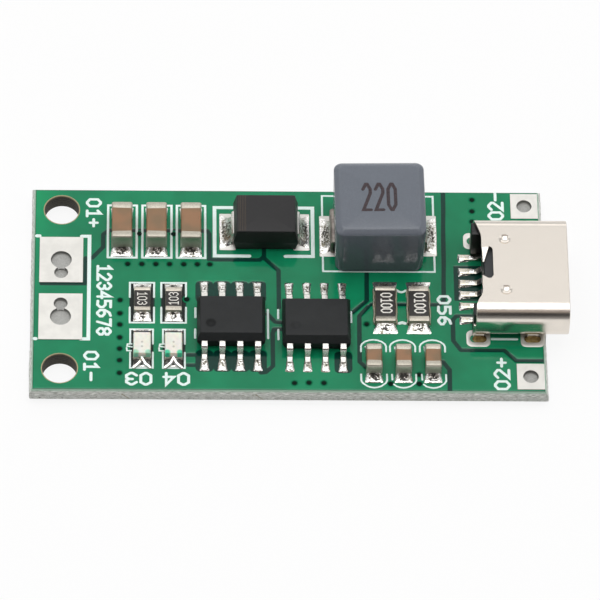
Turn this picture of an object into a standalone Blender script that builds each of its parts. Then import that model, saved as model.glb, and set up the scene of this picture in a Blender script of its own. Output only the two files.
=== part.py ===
"""Lithium battery charger module: a small circuit board with a USB-C inlet at one end.

+X runs along the board to the inlet's mouth, +Y across the board and +Z up. The origin is
at the bottom centre of the whole assembly. Every length is in metres.
"""

import math

import bmesh
import bpy
from mathutils import Matrix, Vector

MM = 0.001

# Clearances
SEAT_GAP = 0.03 * MM        # under what stands on the board, where the real one has solder
FIT_GAP = 0.02 * MM         # round a piece that sits in another piece's pocket or slot
CUT_MARGIN = 0.5 * MM       # how far a cutter runs past the face that it opens

# Board: its edges were scored from both faces and snapped, which leaves a web standing out
BOARD_LENGTH = 36.45 * MM
BOARD_WIDTH = 17.6 * MM
BOARD_THICKNESS = 1.2 * MM
SCORE_WEB = 0.5 * MM        # thickness of the snapped web
SCORE_REACH = 0.22 * MM     # how far the web stands out past the faces
MOUNT_HOLE = 2.7 * MM
MOUNT_HOLE_INSET_X = 1.9 * MM
MOUNT_HOLE_INSET_Y = 1.79 * MM

# Wire pads: a land on each face and a plated barrel between them
LAND_THICKNESS = 0.05 * MM
BARREL_WALL = 0.06 * MM
BATTERY_PAD_LENGTH = 3.13 * MM
BATTERY_PAD_WIDTH = 4.03 * MM
BATTERY_PAD_INSET = 0.35 * MM       # from the board's end
BATTERY_PAD_SPACING = 5.03 * MM     # between the two pads' centres
BATTERY_HOLE = 1.5 * MM
BATTERY_HOLE_SMALL = 1.0 * MM
BATTERY_HOLE_STEP = 1.15 * MM       # from the large hole to the small one beside it
INPUT_PAD_LENGTH = 1.97 * MM
INPUT_PAD_WIDTH = 2.22 * MM
INPUT_PAD_INSET = 0.14 * MM         # from the board's long edge
INPUT_HOLE = 1.1 * MM

# USB-C inlet: a folded shell, a moulded housing with its tongue, and six contacts
SHELL_WIDTH = 8.94 * MM
SHELL_HEIGHT = 3.1 * MM
SHELL_LENGTH = 6.7 * MM
SHELL_WALL = 0.3 * MM
SHELL_CORNER = 1.15 * MM
SHELL_OVERHANG = 1.8 * MM           # past the end of the board's top face
INLET_ACROSS = 0.1 * MM             # inlet's centre line, from the board's
REAR_NOTCH_DEPTH = 0.42 * MM
REAR_NOTCH_WIDTH = 6.0 * MM
REAR_NOTCH_CORNER = 0.38 * MM
FOOT_BAY_LENGTH = 1.4 * MM          # bottom wall cut back for the housing's foot
FOOT_BAY_WIDTH = 6.9 * MM
SEAM_WIDTH = 0.05 * MM
HOOK_SLOT_SETBACK = 0.9 * MM        # hooked slot in the top wall, from the shell's rear
HOOK_SLOT_LENGTH = 2.4 * MM
HOOK_SLOT_WIDTH = 0.42 * MM
HOOK_SLOT_TAPER = 0.16 * MM
HOOK_MOUTH_WIDTH = 1.15 * MM        # where the slot opens to the rear
HOOK_SLOT_ACROSS = 0.1 * MM         # slot's centre, from the inlet's centre line
DIMPLE_DIAMETER = 0.7 * MM
DIMPLE_DEPTH = 0.12 * MM
DIMPLE_SETBACK = 2.2 * MM           # from the shell's rear
DIMPLE_SPACING = 4.4 * MM
STAKE_WIDTH = 0.8 * MM
STAKE_SHORT = 0.1 * MM              # how far a stake ends above the board's underside
STAKE_PROUD = 0.02 * MM             # a stake's outer face, past the shell's side
REAR_STAKE_SETBACK = 0.42 * MM      # stake's centre, from the shell's rear
FRONT_STAKE_SETBACK = 4.15 * MM
STAKE_SLOT_LENGTH = 1.2 * MM
STAKE_SLOT_WIDTH = 0.66 * MM
HOUSING_SETBACK = 0.06 * MM         # housing's rear face, from the shell's rear
HOUSING_LENGTH = 2.3 * MM
COLLAR_LENGTH = 0.7 * MM
COLLAR_THICKNESS = 1.2 * MM
COLLAR_WIDTH = 7.4 * MM
TONGUE_WIDTH = 6.69 * MM
TONGUE_THICKNESS = 0.72 * MM
TONGUE_SETBACK = 0.8 * MM           # tongue's tip, from the shell's mouth
TONGUE_TIP_BEVEL = 0.15 * MM
CONTACT_WIDTH = 0.42 * MM
CONTACT_THICKNESS = 0.15 * MM
CONTACT_BEND = 0.16 * MM
CONTACT_TAIL = 0.98 * MM            # bare tail behind the shell
CONTACT_RISE = 0.75 * MM            # where a contact turns up, from the shell's rear
CONTACT_TIP_SETBACK = 0.55 * MM     # contact's tip, from the tongue's
CONTACT_OFFSETS = (2.75 * MM, 1.52 * MM, 0.5 * MM, -0.5 * MM, -1.52 * MM, -2.75 * MM)
CONTACT_ON_TOP = (True, True, False, True, False, False)

# Eight-lead packages
IC_LENGTH = 4.88 * MM
IC_WIDTH = 3.9 * MM
IC_STANDOFF = 0.12 * MM
IC_HEIGHT = 1.5 * MM                # top face above the board
IC_DRAFT_END = 0.2 * MM             # how far the top face draws in at each end
IC_DRAFT_SIDE = 0.32 * MM
LEAD_HEIGHT = 0.85 * MM             # middle of the lead where it leaves the package
LEAD_PITCH = 1.27 * MM
LEAD_WIDTH = 0.44 * MM
LEAD_THICKNESS = 0.2 * MM
LEAD_SPAN = 6.1 * MM                # tip to tip
LEAD_FOOT = 0.5 * MM
LEAD_RUN = 0.2 * MM                 # sideways run of the sloping part
LEAD_BEND = 0.16 * MM
LEAD_ROOT = 0.35 * MM               # length held inside the package
INDEX_DIMPLE = 0.8 * MM
INDEX_DIMPLE_DEPTH = 0.06 * MM
INDEX_DIMPLE_INSET_X = 0.98 * MM
INDEX_DIMPLE_INSET_Y = 1.2 * MM

# Moulded inductor
INDUCTOR_SIDE = 6.5 * MM
INDUCTOR_HEIGHT = 4.85 * MM
INDUCTOR_STANDOFF = 0.1 * MM
INDUCTOR_CORNER = 0.5 * MM
INDUCTOR_RIM = 0.3 * MM
INDUCTOR_TURN = math.radians(0.8)
INDUCTOR_LEAD_WIDTH = 3.0 * MM
INDUCTOR_LEAD_THICKNESS = 0.2 * MM
INDUCTOR_LEAD_HEIGHT = 1.3 * MM
INDUCTOR_LEAD_UNDER = 1.4 * MM      # how far a lead folds back under the body
INDUCTOR_LEAD_ROOT = 0.6 * MM

# Diode: a moulded body with leads folded down and under it
DIODE_LENGTH = 4.5 * MM
DIODE_WIDTH = 3.6 * MM
DIODE_HEIGHT = 2.2 * MM
DIODE_STANDOFF = 0.1 * MM
DIODE_DRAFT = 0.15 * MM
DIODE_LEAD_WIDTH = 2.0 * MM
DIODE_LEAD_THICKNESS = 0.2 * MM
DIODE_LEAD_HEIGHT = 1.15 * MM
DIODE_LEAD_UNDER = 1.0 * MM
DIODE_LEAD_ROOT = 0.5 * MM

# Shared by the leads that fold down outside a body
FOLD_CLEARANCE = 0.04 * MM
FOLD_BEND = 0.18 * MM

# Chip parts: length across the board, width along it, height
LARGE_CAPACITOR = (3.2 * MM, 1.6 * MM, 1.6 * MM)
SMALL_CAPACITOR = (2.0 * MM, 1.25 * MM, 1.25 * MM)
SMALL_RESISTOR = (2.05 * MM, 1.27 * MM, 0.52 * MM)
SENSE_RESISTOR = (3.1 * MM, 1.55 * MM, 0.58 * MM)
LARGE_CAPACITOR_END = 0.6 * MM
SMALL_CAPACITOR_END = 0.5 * MM
SMALL_RESISTOR_END = 0.38 * MM
SENSE_RESISTOR_END = 0.48 * MM
CHIP_END_PROUD = 0.02 * MM          # a metal end, past the ceramic
CAPACITOR_EDGE = 0.1 * MM
RESISTOR_EDGE = 0.04 * MM

# Indicator lamps
LAMP_LENGTH = 2.05 * MM
LAMP_WIDTH = 1.27 * MM
LAMP_BASE_HEIGHT = 0.3 * MM
LAMP_HEIGHT = 0.82 * MM
LENS_LENGTH = 1.4 * MM
LENS_DRAFT = 0.06 * MM
LAMP_NOTCH = 0.44 * MM              # round notch in each end of the base

# Places of the free-standing parts, as shares of the board's length and width
LARGE_CAPACITOR_PLACE = (-0.2597, 0.286)
LARGE_CAPACITOR_PITCH = 2.49 * MM
SMALL_CAPACITOR_PLACE = (0.2240, -0.3705)
SMALL_CAPACITOR_PITCH = 2.105 * MM
SENSE_RESISTOR_PLACE = (0.2239, -0.0892)
SENSE_RESISTOR_PITCH = 2.4 * MM
LAMP_COLUMN_SHARE = -0.2563
LAMP_COLUMN_PITCH = 2.25 * MM
SMALL_RESISTOR_ROW_SHARE = -0.0693
LAMP_ROW_SHARE = -0.2970
CHARGER_IC_PLACE = (-0.1126, -0.1853)
SWITCH_IC_PLACE = (0.0543, -0.1885)
DIODE_PLACE = (-0.0433, 0.2903)
INDUCTOR_PLACE = (0.1797, 0.2727)

# Fineness
HOLE_SEGMENTS = 40
NOTCH_SEGMENTS = 20
BEND_STEPS = 3
CORNER_STEPS = 6
DIMPLE_SEGMENTS = 12

# Worked out from the sizes above
BOARD_TOP = LAND_THICKNESS + SEAT_GAP + BOARD_THICKNESS
FRAME_SHIFT = (SCORE_REACH - SHELL_OVERHANG) / 2
SHELL_MOUTH_X = BOARD_LENGTH / 2 + SHELL_OVERHANG
SHELL_REAR_X = SHELL_MOUTH_X - SHELL_LENGTH
SHELL_MIDDLE_Z = SEAT_GAP + SHELL_HEIGHT / 2
TONGUE_TIP_X = SHELL_MOUTH_X - TONGUE_SETBACK
HOUSING_REAR_X = SHELL_REAR_X + HOUSING_SETBACK
HOUSING_FRONT_X = HOUSING_REAR_X + HOUSING_LENGTH

# Turns that carry a flat outline drawn in XY to another plane
UPRIGHT_ALONG = Matrix.Rotation(math.radians(90.0), 4, "X")
UPRIGHT_ACROSS = Matrix(((0, 0, 1, 0), (1, 0, 0, 0), (0, 1, 0, 0), (0, 0, 0, 1)))

for old in list(bpy.data.objects):
    bpy.data.objects.remove(old, do_unlink=True)

MODULE = bpy.data.collections.new("charger_module")
CUTTERS = bpy.data.collections.new("cutters")
for collection in (MODULE, CUTTERS):
    bpy.context.scene.collection.children.link(collection)

BOARD_FRAME = bpy.data.objects.new("board_top_frame", None)
BOARD_FRAME.location = (FRAME_SHIFT, 0, BOARD_TOP)
MODULE.objects.link(BOARD_FRAME)


def make_material(name, colour, roughness, metallic=0.0):
    """A Principled material of one colour."""
    material = bpy.data.materials.new(name)
    material.use_nodes = True
    shader = material.node_tree.nodes["Principled BSDF"]
    shader.inputs["Base Color"].default_value = (*colour, 1.0)
    shader.inputs["Roughness"].default_value = roughness
    shader.inputs["Metallic"].default_value = metallic
    material.diffuse_color = (*colour, 1.0)
    return material


def place(name, mesh, material, at=(0, 0, 0), turn=0.0):
    """Put a mesh in the module as one sub-part, at a place on the board's top face."""
    piece = bpy.data.objects.new(name, mesh)
    if not mesh.materials:
        mesh.materials.append(material)
    piece.parent = BOARD_FRAME
    piece.location = at
    piece.rotation_euler = (0, 0, turn)
    MODULE.objects.link(piece)
    return piece


def cut(piece, name, mesh, operation="DIFFERENCE"):
    """Cut a mesh out of a piece, or join it on; the mesh is in the piece's own frame."""
    cutter = bpy.data.objects.new(name, mesh)
    cutter.parent = piece.parent
    cutter.location = piece.location
    cutter.rotation_euler = piece.rotation_euler
    cutter.hide_render = True
    cutter.display_type = "WIRE"
    CUTTERS.objects.link(cutter)
    boolean = piece.modifiers.new(name, "BOOLEAN")
    boolean.operation = operation
    boolean.solver = "EXACT"
    boolean.object = cutter


def round_edges(piece, width, segments=1, angle=math.radians(40)):
    """Round the edges of a piece that are sharper than an angle."""
    bevel = piece.modifiers.new("edges", "BEVEL")
    bevel.width = width
    bevel.segments = segments
    bevel.limit_method = "ANGLE"
    bevel.angle_limit = angle


def smooth(mesh, angle=math.radians(35)):
    """Shade a mesh smooth and keep the edges past an angle sharp."""
    mesh.shade_smooth()
    mesh.set_sharp_from_angle(angle=angle)
    return mesh


def finish_mesh(name, bm):
    """Turn a bmesh into a mesh and free it."""
    mesh = bpy.data.meshes.new(name)
    bm.to_mesh(mesh)
    bm.free()
    return mesh


def box_mesh(name, size, centre=(0, 0, 0)):
    """A box of a given size about a centre."""
    bm = bmesh.new()
    bmesh.ops.create_cube(bm, size=1.0)
    bmesh.ops.scale(bm, vec=size, verts=bm.verts)
    bmesh.ops.translate(bm, vec=centre, verts=bm.verts)
    return finish_mesh(name, bm)


def box_between(name, low, high):
    """A box between two opposite corners."""
    low, high = Vector(low), Vector(high)
    return box_mesh(name, high - low, (low + high) / 2)


def cylinder_mesh(name, diameter, low, high, centre=(0, 0), segments=HOLE_SEGMENTS):
    """An upright closed cylinder between two heights."""
    bm = bmesh.new()
    bmesh.ops.create_cone(bm, cap_ends=True, segments=segments, radius1=diameter / 2,
                          radius2=diameter / 2, depth=high - low)
    bmesh.ops.translate(bm, vec=(*centre, (low + high) / 2), verts=bm.verts)
    return finish_mesh(name, bm)


def dimple_mesh(name, diameter, depth, centre):
    """A sphere that sinks a round dimple of a given width and depth into a level face."""
    radius = (diameter * diameter / 4 + depth * depth) / (2 * depth)
    bm = bmesh.new()
    bmesh.ops.create_uvsphere(bm, u_segments=2 * DIMPLE_SEGMENTS, v_segments=DIMPLE_SEGMENTS, radius=radius)
    bmesh.ops.translate(bm, vec=Vector(centre) + Vector((0, 0, radius - depth)), verts=bm.verts)
    return finish_mesh(name, bm)


def stacked_block(name, levels):
    """A block whose rectangular section follows levels of (height, length, width)."""
    bm = bmesh.new()
    bmesh.ops.create_cube(bm, size=1.0)
    for vert in bm.verts:
        height, length, width = levels[1] if vert.co.z > 0 else levels[0]
        vert.co = (vert.co.x * length, vert.co.y * width, height)
    for height, length, width in levels[2:]:
        top = max(bm.faces, key=lambda face: face.calc_center_median().z)
        grown = bmesh.ops.extrude_face_region(bm, geom=[top])["geom"]
        bmesh.ops.delete(bm, geom=[top], context="FACES_ONLY")
        for vert in (item for item in grown if isinstance(item, bmesh.types.BMVert)):
            vert.co.x = math.copysign(length / 2, vert.co.x)
            vert.co.y = math.copysign(width / 2, vert.co.y)
            vert.co.z = height
    bmesh.ops.recalc_face_normals(bm, faces=bm.faces)
    return finish_mesh(name, bm)


def merged(name, parts):
    """One mesh from several closed ones, each given as (mesh, matrix)."""
    bm = bmesh.new()
    for mesh, matrix in parts:
        moved = mesh.copy()
        moved.transform(matrix)
        bm.from_mesh(moved)
        bpy.data.meshes.remove(moved)
    return finish_mesh(name, bm)


def arc(centre, radius, start, end, steps):
    """Points along an arc between two angles in degrees, both ends included."""
    angles = [math.radians(start + (end - start) * i / steps) for i in range(steps + 1)]
    return [Vector((centre[0] + radius * math.cos(a), centre[1] + radius * math.sin(a))) for a in angles]


def rounded_rectangle(length, width, corner, centre=(0, 0), steps=CORNER_STEPS):
    """Outline of a rectangle with round corners, counterclockwise."""
    points = []
    for x_side, y_side, start in ((1, 1, 0), (-1, 1, 90), (-1, -1, 180), (1, -1, 270)):
        middle = (centre[0] + x_side * (length / 2 - corner), centre[1] + y_side * (width / 2 - corner))
        points += arc(middle, corner, start, start + 90, steps)
    return points


def extruded(name, outlines, depth, turn=Matrix.Identity(4)):
    """Closed outlines, the later ones holes in the first, filled and extruded about their plane."""
    curve = bpy.data.curves.new(name, "CURVE")
    curve.dimensions = "2D"
    curve.fill_mode = "BOTH"
    curve.extrude = depth / 2
    for outline in outlines:
        spline = curve.splines.new("POLY")
        spline.points.add(len(outline) - 1)
        for point, place_2d in zip(spline.points, outline):
            point.co = (place_2d[0], place_2d[1], 0, 1)
        spline.use_cyclic_u = True
    drawn = bpy.data.objects.new(name, curve)
    CUTTERS.objects.link(drawn)
    bpy.context.view_layer.update()
    mesh = bpy.data.meshes.new_from_object(drawn.evaluated_get(bpy.context.evaluated_depsgraph_get()))
    bpy.data.objects.remove(drawn, do_unlink=True)
    bpy.data.curves.remove(curve)
    bm = bmesh.new()
    bm.from_mesh(mesh)
    bmesh.ops.remove_doubles(bm, verts=bm.verts, dist=FIT_GAP / 20)
    bmesh.ops.recalc_face_normals(bm, faces=bm.faces)
    bm.to_mesh(mesh)
    bm.free()
    mesh.transform(turn)
    mesh.name = name
    return mesh


def bent_line(path, radius):
    """A path with each corner turned into an arc of a given radius."""
    points = [Vector(path[0])]
    for before, corner, after in zip(path, path[1:], path[2:]):
        corner = Vector(corner)
        toward_start = (Vector(before) - corner).normalized()
        toward_end = (Vector(after) - corner).normalized()
        half = toward_start.angle(toward_end) / 2
        middle = corner + (toward_start + toward_end).normalized() * (radius / math.sin(half))
        first = corner + toward_start * (radius / math.tan(half)) - middle
        last = corner + toward_end * (radius / math.tan(half)) - middle
        sweep = math.atan2(first.x * last.y - first.y * last.x, first.dot(last))
        for step in range(BEND_STEPS + 1):
            angle = sweep * step / BEND_STEPS
            turned = Vector((first.x * math.cos(angle) - first.y * math.sin(angle),
                             first.x * math.sin(angle) + first.y * math.cos(angle)))
            points.append(middle + turned)
    points.append(Vector(path[-1]))
    return points


def strip_outline(path, thickness, radius):
    """Side view of a strip of sheet metal that follows a path with round bends."""
    line = bent_line(path, radius)
    left, right = [], []
    for index, point in enumerate(line):
        ahead = (line[min(index + 1, len(line) - 1)] - point)
        behind = (point - line[max(index - 1, 0)])
        ahead = (ahead if ahead.length > 0 else behind).normalized()
        behind = (behind if behind.length > 0 else ahead).normalized()
        along = (ahead + behind).normalized()
        normal = Vector((-along.y, along.x)) * (thickness / 2 / along.dot(ahead))
        left.append(point + normal)
        right.append(point - normal)
    return left + right[::-1]


def lengthened(path, start, end):
    """The same path with its two ends moved outward."""
    first, second = Vector(path[0]), Vector(path[1])
    last, previous = Vector(path[-1]), Vector(path[-2])
    return [first + (first - second).normalized() * start, *path[1:-1],
            last + (last - previous).normalized() * end]


def strip_mesh(name, path, thickness, width, bend, turn, slack=0.0):
    """A bent strip; slack grows it on all sides, for the pocket that it sits in."""
    outline = strip_outline(lengthened(path, slack, slack), thickness + 2 * slack, bend)
    return smooth(extruded(name, [outline], width + 2 * slack, turn))


def along(share):
    """A place along the board from its share of the length."""
    return share * BOARD_LENGTH


def across(share):
    """A place across the board from its share of the width."""
    return share * BOARD_WIDTH


def on_board(share_along, share_across):
    """A seat on the board's top face."""
    return Vector((along(share_along), across(share_across), 0))


def row(middle, pitch, count):
    """Evenly spaced places about a middle."""
    return [middle + pitch * (index - (count - 1) / 2) for index in range(count)]


def battery_pad_holes(side):
    """Centres and diameters of a battery pad's two holes; the small one is nearer the middle."""
    x = -BOARD_LENGTH / 2 + BATTERY_PAD_INSET + BATTERY_PAD_LENGTH / 2
    y = side * BATTERY_PAD_SPACING / 2
    return [((x, y), BATTERY_HOLE), ((x, y - side * BATTERY_HOLE_STEP), BATTERY_HOLE_SMALL)]


def input_pad_holes(side):
    """Centre and diameter of an input pad's hole."""
    x = BOARD_LENGTH / 2 - INPUT_PAD_LENGTH / 2
    y = side * (BOARD_WIDTH / 2 - INPUT_PAD_INSET - INPUT_PAD_WIDTH / 2)
    return [((x, y), INPUT_HOLE)]


def drilled(name, holes, grow, low, high):
    """Cylinders for a pad's holes, grown in diameter, between two heights."""
    identity = Matrix.Identity(4)
    return merged(name, [(cylinder_mesh(name, diameter + grow, low, high, centre), identity)
                         for centre, diameter in holes])


def stake_places():
    """Centres of the shell's four stakes on the board."""
    side = SHELL_WIDTH / 2 - SHELL_WALL / 2
    return [(SHELL_REAR_X + setback, INLET_ACROSS + sign * side, sign)
            for setback in (REAR_STAKE_SETBACK, FRONT_STAKE_SETBACK) for sign in (1, -1)]


def build_board():
    """Board blank with snapped edges, mounting holes, pad holes and stake slots."""
    web_low = -BOARD_THICKNESS / 2 - SCORE_WEB / 2
    web_high = -BOARD_THICKNESS / 2 + SCORE_WEB / 2
    outer_length = BOARD_LENGTH + 2 * SCORE_REACH
    outer_width = BOARD_WIDTH + 2 * SCORE_REACH
    mesh = stacked_block("board", [(-BOARD_THICKNESS, BOARD_LENGTH, BOARD_WIDTH),
                                   (web_low, outer_length, outer_width),
                                   (web_high, outer_length, outer_width),
                                   (0, BOARD_LENGTH, BOARD_WIDTH)])
    board = place("board", mesh, make_material("solder_mask", (0.03, 0.27, 0.11), 0.35))
    low, high = -BOARD_THICKNESS - CUT_MARGIN, CUT_MARGIN
    mount_x = -BOARD_LENGTH / 2 + MOUNT_HOLE_INSET_X
    mount_y = BOARD_WIDTH / 2 - MOUNT_HOLE_INSET_Y
    holes = [((mount_x, side * mount_y), MOUNT_HOLE) for side in (1, -1)]
    cut(board, "mount_holes", drilled("mount_holes", holes, 0, low, high))
    grow = 2 * (BARREL_WALL + FIT_GAP)
    for side, label in ((1, "far"), (-1, "near")):
        for index, hole in enumerate(battery_pad_holes(side)):
            name = "battery_hole_%s_%d" % (label, index + 1)
            cut(board, name, drilled(name, [hole], grow, low, high))
        name = "input_hole_%s" % label
        cut(board, name, drilled(name, input_pad_holes(side), grow, low, high))
    for index, (x, y, _) in enumerate(stake_places()):
        name = "stake_slot_%d" % (index + 1)
        outline = rounded_rectangle(STAKE_SLOT_LENGTH, STAKE_SLOT_WIDTH,
                                    STAKE_SLOT_WIDTH / 2 - FIT_GAP / 10, (x, y))
        slot = extruded(name, [outline], high - low)
        slot.transform(Matrix.Translation((0, 0, (low + high) / 2)))
        cut(board, name, slot)


def build_wire_pad(name, holes, length, width, material):
    """Two lands joined by a plated barrel through the board, open along its holes."""
    x, y = holes[0][0]
    top_low, top_high = SEAT_GAP, SEAT_GAP + LAND_THICKNESS
    under_high = -BOARD_THICKNESS - SEAT_GAP
    under_low = under_high - LAND_THICKNESS
    mesh = box_between(name, (x - length / 2, y - width / 2, top_low), (x + length / 2, y + width / 2, top_high))
    pad = place(name, mesh, material)
    under = box_between(name + "_under", (x - length / 2, y - width / 2, under_low),
                        (x + length / 2, y + width / 2, under_high))
    cut(pad, name + "_under", under, "UNION")
    low, high = under_low + LAND_THICKNESS / 2, top_high - LAND_THICKNESS / 2
    for index, hole in enumerate(holes):
        label = "%s_barrel_%d" % (name, index + 1)
        cut(pad, label, drilled(label, [hole], 2 * BARREL_WALL, low, high), "UNION")
    for index, hole in enumerate(holes):
        label = "%s_bore_%d" % (name, index + 1)
        cut(pad, label, drilled(label, [hole], 0, under_low - CUT_MARGIN, CUT_MARGIN))


def build_wire_pads():
    """The battery and input pads."""
    tinned = make_material("tinned_pad", (0.78, 0.77, 0.74), 0.3, 1.0)
    for side, battery, supply in ((1, "battery_pad_positive", "input_pad_negative"),
                                  (-1, "battery_pad_negative", "input_pad_positive")):
        build_wire_pad(battery, battery_pad_holes(side), BATTERY_PAD_LENGTH, BATTERY_PAD_WIDTH, tinned)
        build_wire_pad(supply, input_pad_holes(side), INPUT_PAD_LENGTH, INPUT_PAD_WIDTH, tinned)


def hook_slot_outline():
    """Tapered slot in the shell's top wall that opens to the rear at one end."""
    back = SHELL_REAR_X + HOOK_SLOT_SETBACK
    front = back + HOOK_SLOT_WIDTH
    far = INLET_ACROSS + HOOK_SLOT_ACROSS + HOOK_SLOT_LENGTH / 2
    near = far - HOOK_SLOT_LENGTH
    mouth = near + HOOK_MOUTH_WIDTH
    outside = SHELL_REAR_X - CUT_MARGIN
    corner = (HOOK_SLOT_WIDTH - HOOK_SLOT_TAPER) / 3
    return [Vector((front, near)), Vector((front - HOOK_SLOT_TAPER, far - corner)),
            Vector((front - HOOK_SLOT_TAPER - corner, far)), Vector((back + corner, far)),
            Vector((back, far - corner)), Vector((back - HOOK_SLOT_TAPER, mouth)),
            Vector((outside, mouth)), Vector((outside, near + HOOK_SLOT_WIDTH / 2)),
            Vector((back - HOOK_SLOT_TAPER, near))]


def build_shell():
    """Folded inlet shell: a flat tube with a seam, rear cut-outs, dimples and four stakes."""
    outer = rounded_rectangle(SHELL_WIDTH, SHELL_HEIGHT, SHELL_CORNER)
    inner = rounded_rectangle(SHELL_WIDTH - 2 * SHELL_WALL, SHELL_HEIGHT - 2 * SHELL_WALL,
                              SHELL_CORNER - SHELL_WALL)
    tube = extruded("usb_shell", [outer, inner], SHELL_LENGTH, UPRIGHT_ACROSS)
    tube.transform(Matrix.Translation((SHELL_REAR_X + SHELL_LENGTH / 2, INLET_ACROSS, SHELL_MIDDLE_Z)))
    shell = place("usb_shell", smooth(tube), make_material("nickel_shell", (0.80, 0.76, 0.70), 0.22, 1.0))
    top = SEAT_GAP + SHELL_HEIGHT
    for index, (x, y, sign) in enumerate(stake_places()):
        outer_y = y + sign * (SHELL_WALL / 2 + STAKE_PROUD)
        inner_y = y - sign * SHELL_WALL / 2
        name = "stake_%d" % (index + 1)
        stake = box_between(name, (x - STAKE_WIDTH / 2, min(inner_y, outer_y), STAKE_SHORT - BOARD_THICKNESS),
                            (x + STAKE_WIDTH / 2, max(inner_y, outer_y), SHELL_MIDDLE_Z))
        cut(shell, name, stake, "UNION")
    notch = rounded_rectangle(2 * REAR_NOTCH_DEPTH, REAR_NOTCH_WIDTH, REAR_NOTCH_CORNER,
                              (SHELL_REAR_X, INLET_ACROSS))
    for name, outline in (("rear_notch", notch), ("hook_slot", hook_slot_outline())):
        blade = extruded(name, [outline], SHELL_HEIGHT / 2)
        blade.transform(Matrix.Translation((0, 0, top)))
        cut(shell, name, blade)
    bay = box_between("foot_bay", (SHELL_REAR_X - CUT_MARGIN, INLET_ACROSS - FOOT_BAY_WIDTH / 2, -CUT_MARGIN),
                      (SHELL_REAR_X + FOOT_BAY_LENGTH, INLET_ACROSS + FOOT_BAY_WIDTH / 2, SHELL_MIDDLE_Z))
    cut(shell, "foot_bay", bay)
    seam = box_between("seam", (SHELL_REAR_X, INLET_ACROSS - SEAM_WIDTH / 2, -CUT_MARGIN),
                       (SHELL_MOUTH_X + CUT_MARGIN, INLET_ACROSS + SEAM_WIDTH / 2, SHELL_MIDDLE_Z))
    cut(shell, "seam", seam)
    for index, y in enumerate(row(INLET_ACROSS, DIMPLE_SPACING, 2)):
        name = "dimple_%d" % (index + 1)
        cut(shell, name, dimple_mesh(name, DIMPLE_DIAMETER, DIMPLE_DEPTH, (SHELL_REAR_X + DIMPLE_SETBACK, y, top)))


def contact_path(on_top):
    """Side view of a contact: tail on the board, rise in the housing, blade on the tongue."""
    low = SEAT_GAP + CONTACT_THICKNESS / 2
    side = 1 if on_top else -1
    blade = SHELL_MIDDLE_Z + side * (TONGUE_THICKNESS / 2 - CONTACT_THICKNESS / 2)
    rise = SHELL_REAR_X + CONTACT_RISE
    return [(SHELL_REAR_X - CONTACT_TAIL, low), (rise, low), (rise, blade),
            (TONGUE_TIP_X - CONTACT_TIP_SETBACK, blade)]


def build_housing():
    """Moulded housing that fills the shell's rear, with its foot, collar and tongue."""
    width = SHELL_WIDTH - 2 * SHELL_WALL - 2 * FIT_GAP
    height = SHELL_HEIGHT - 2 * SHELL_WALL - 2 * FIT_GAP
    block = extruded("usb_housing", [rounded_rectangle(width, height, SHELL_CORNER - SHELL_WALL - FIT_GAP)],
                     HOUSING_LENGTH, UPRIGHT_ACROSS)
    block.transform(Matrix.Translation(((HOUSING_REAR_X + HOUSING_FRONT_X) / 2, INLET_ACROSS, SHELL_MIDDLE_Z)))
    housing = place("usb_housing", smooth(block), make_material("black_housing", (0.02, 0.02, 0.022), 0.5))
    foot_width = FOOT_BAY_WIDTH - 2 * FIT_GAP
    foot = box_between("housing_foot", (HOUSING_REAR_X, INLET_ACROSS - foot_width / 2, SEAT_GAP),
                       (SHELL_REAR_X + FOOT_BAY_LENGTH - FIT_GAP, INLET_ACROSS + foot_width / 2, SHELL_MIDDLE_Z))
    cut(housing, "housing_foot", foot, "UNION")
    collar_front = HOUSING_FRONT_X + COLLAR_LENGTH
    for name, front, piece_width, thickness in (
            ("collar", collar_front, COLLAR_WIDTH, COLLAR_THICKNESS),
            ("tongue", TONGUE_TIP_X, TONGUE_WIDTH, TONGUE_THICKNESS)):
        low = (HOUSING_FRONT_X - FIT_GAP, INLET_ACROSS - piece_width / 2, SHELL_MIDDLE_Z - thickness / 2)
        high = (front, INLET_ACROSS + piece_width / 2, SHELL_MIDDLE_Z + thickness / 2)
        solid = box_between(name, low, high)
        if name == "tongue":
            narrow_tip(solid)
        cut(housing, name, solid, "UNION")
    for index, (offset, on_top) in enumerate(zip(CONTACT_OFFSETS, CONTACT_ON_TOP)):
        name = "contact_way_%d" % (index + 1)
        way = strip_mesh(name, contact_path(on_top), CONTACT_THICKNESS, CONTACT_WIDTH, CONTACT_BEND,
                         UPRIGHT_ALONG, FIT_GAP)
        way.transform(Matrix.Translation((0, INLET_ACROSS + offset, 0)))
        cut(housing, name, way)


def narrow_tip(mesh):
    """Bevel the tongue's tip on all four sides."""
    bm = bmesh.new()
    bm.from_mesh(mesh)
    tip = max(vert.co.x for vert in bm.verts)
    ends = [edge for edge in bm.edges if all(abs(vert.co.x - tip) < FIT_GAP for vert in edge.verts)]
    bmesh.ops.bevel(bm, geom=ends, offset=TONGUE_TIP_BEVEL, segments=2, affect="EDGES", profile=0.5)
    bm.to_mesh(mesh)
    bm.free()


def build_contacts():
    """Six bent contacts, three on the tongue's upper face and three on its lower one."""
    gilt = make_material("contact_metal", (0.83, 0.78, 0.66), 0.25, 1.0)
    meshes = {on_top: strip_mesh("contact", contact_path(on_top), CONTACT_THICKNESS, CONTACT_WIDTH,
                                 CONTACT_BEND, UPRIGHT_ALONG) for on_top in (True, False)}
    for index, (offset, on_top) in enumerate(zip(CONTACT_OFFSETS, CONTACT_ON_TOP)):
        place("usb_contact_%d" % (index + 1), meshes[on_top], gilt, (0, INLET_ACROSS + offset, 0))


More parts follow.
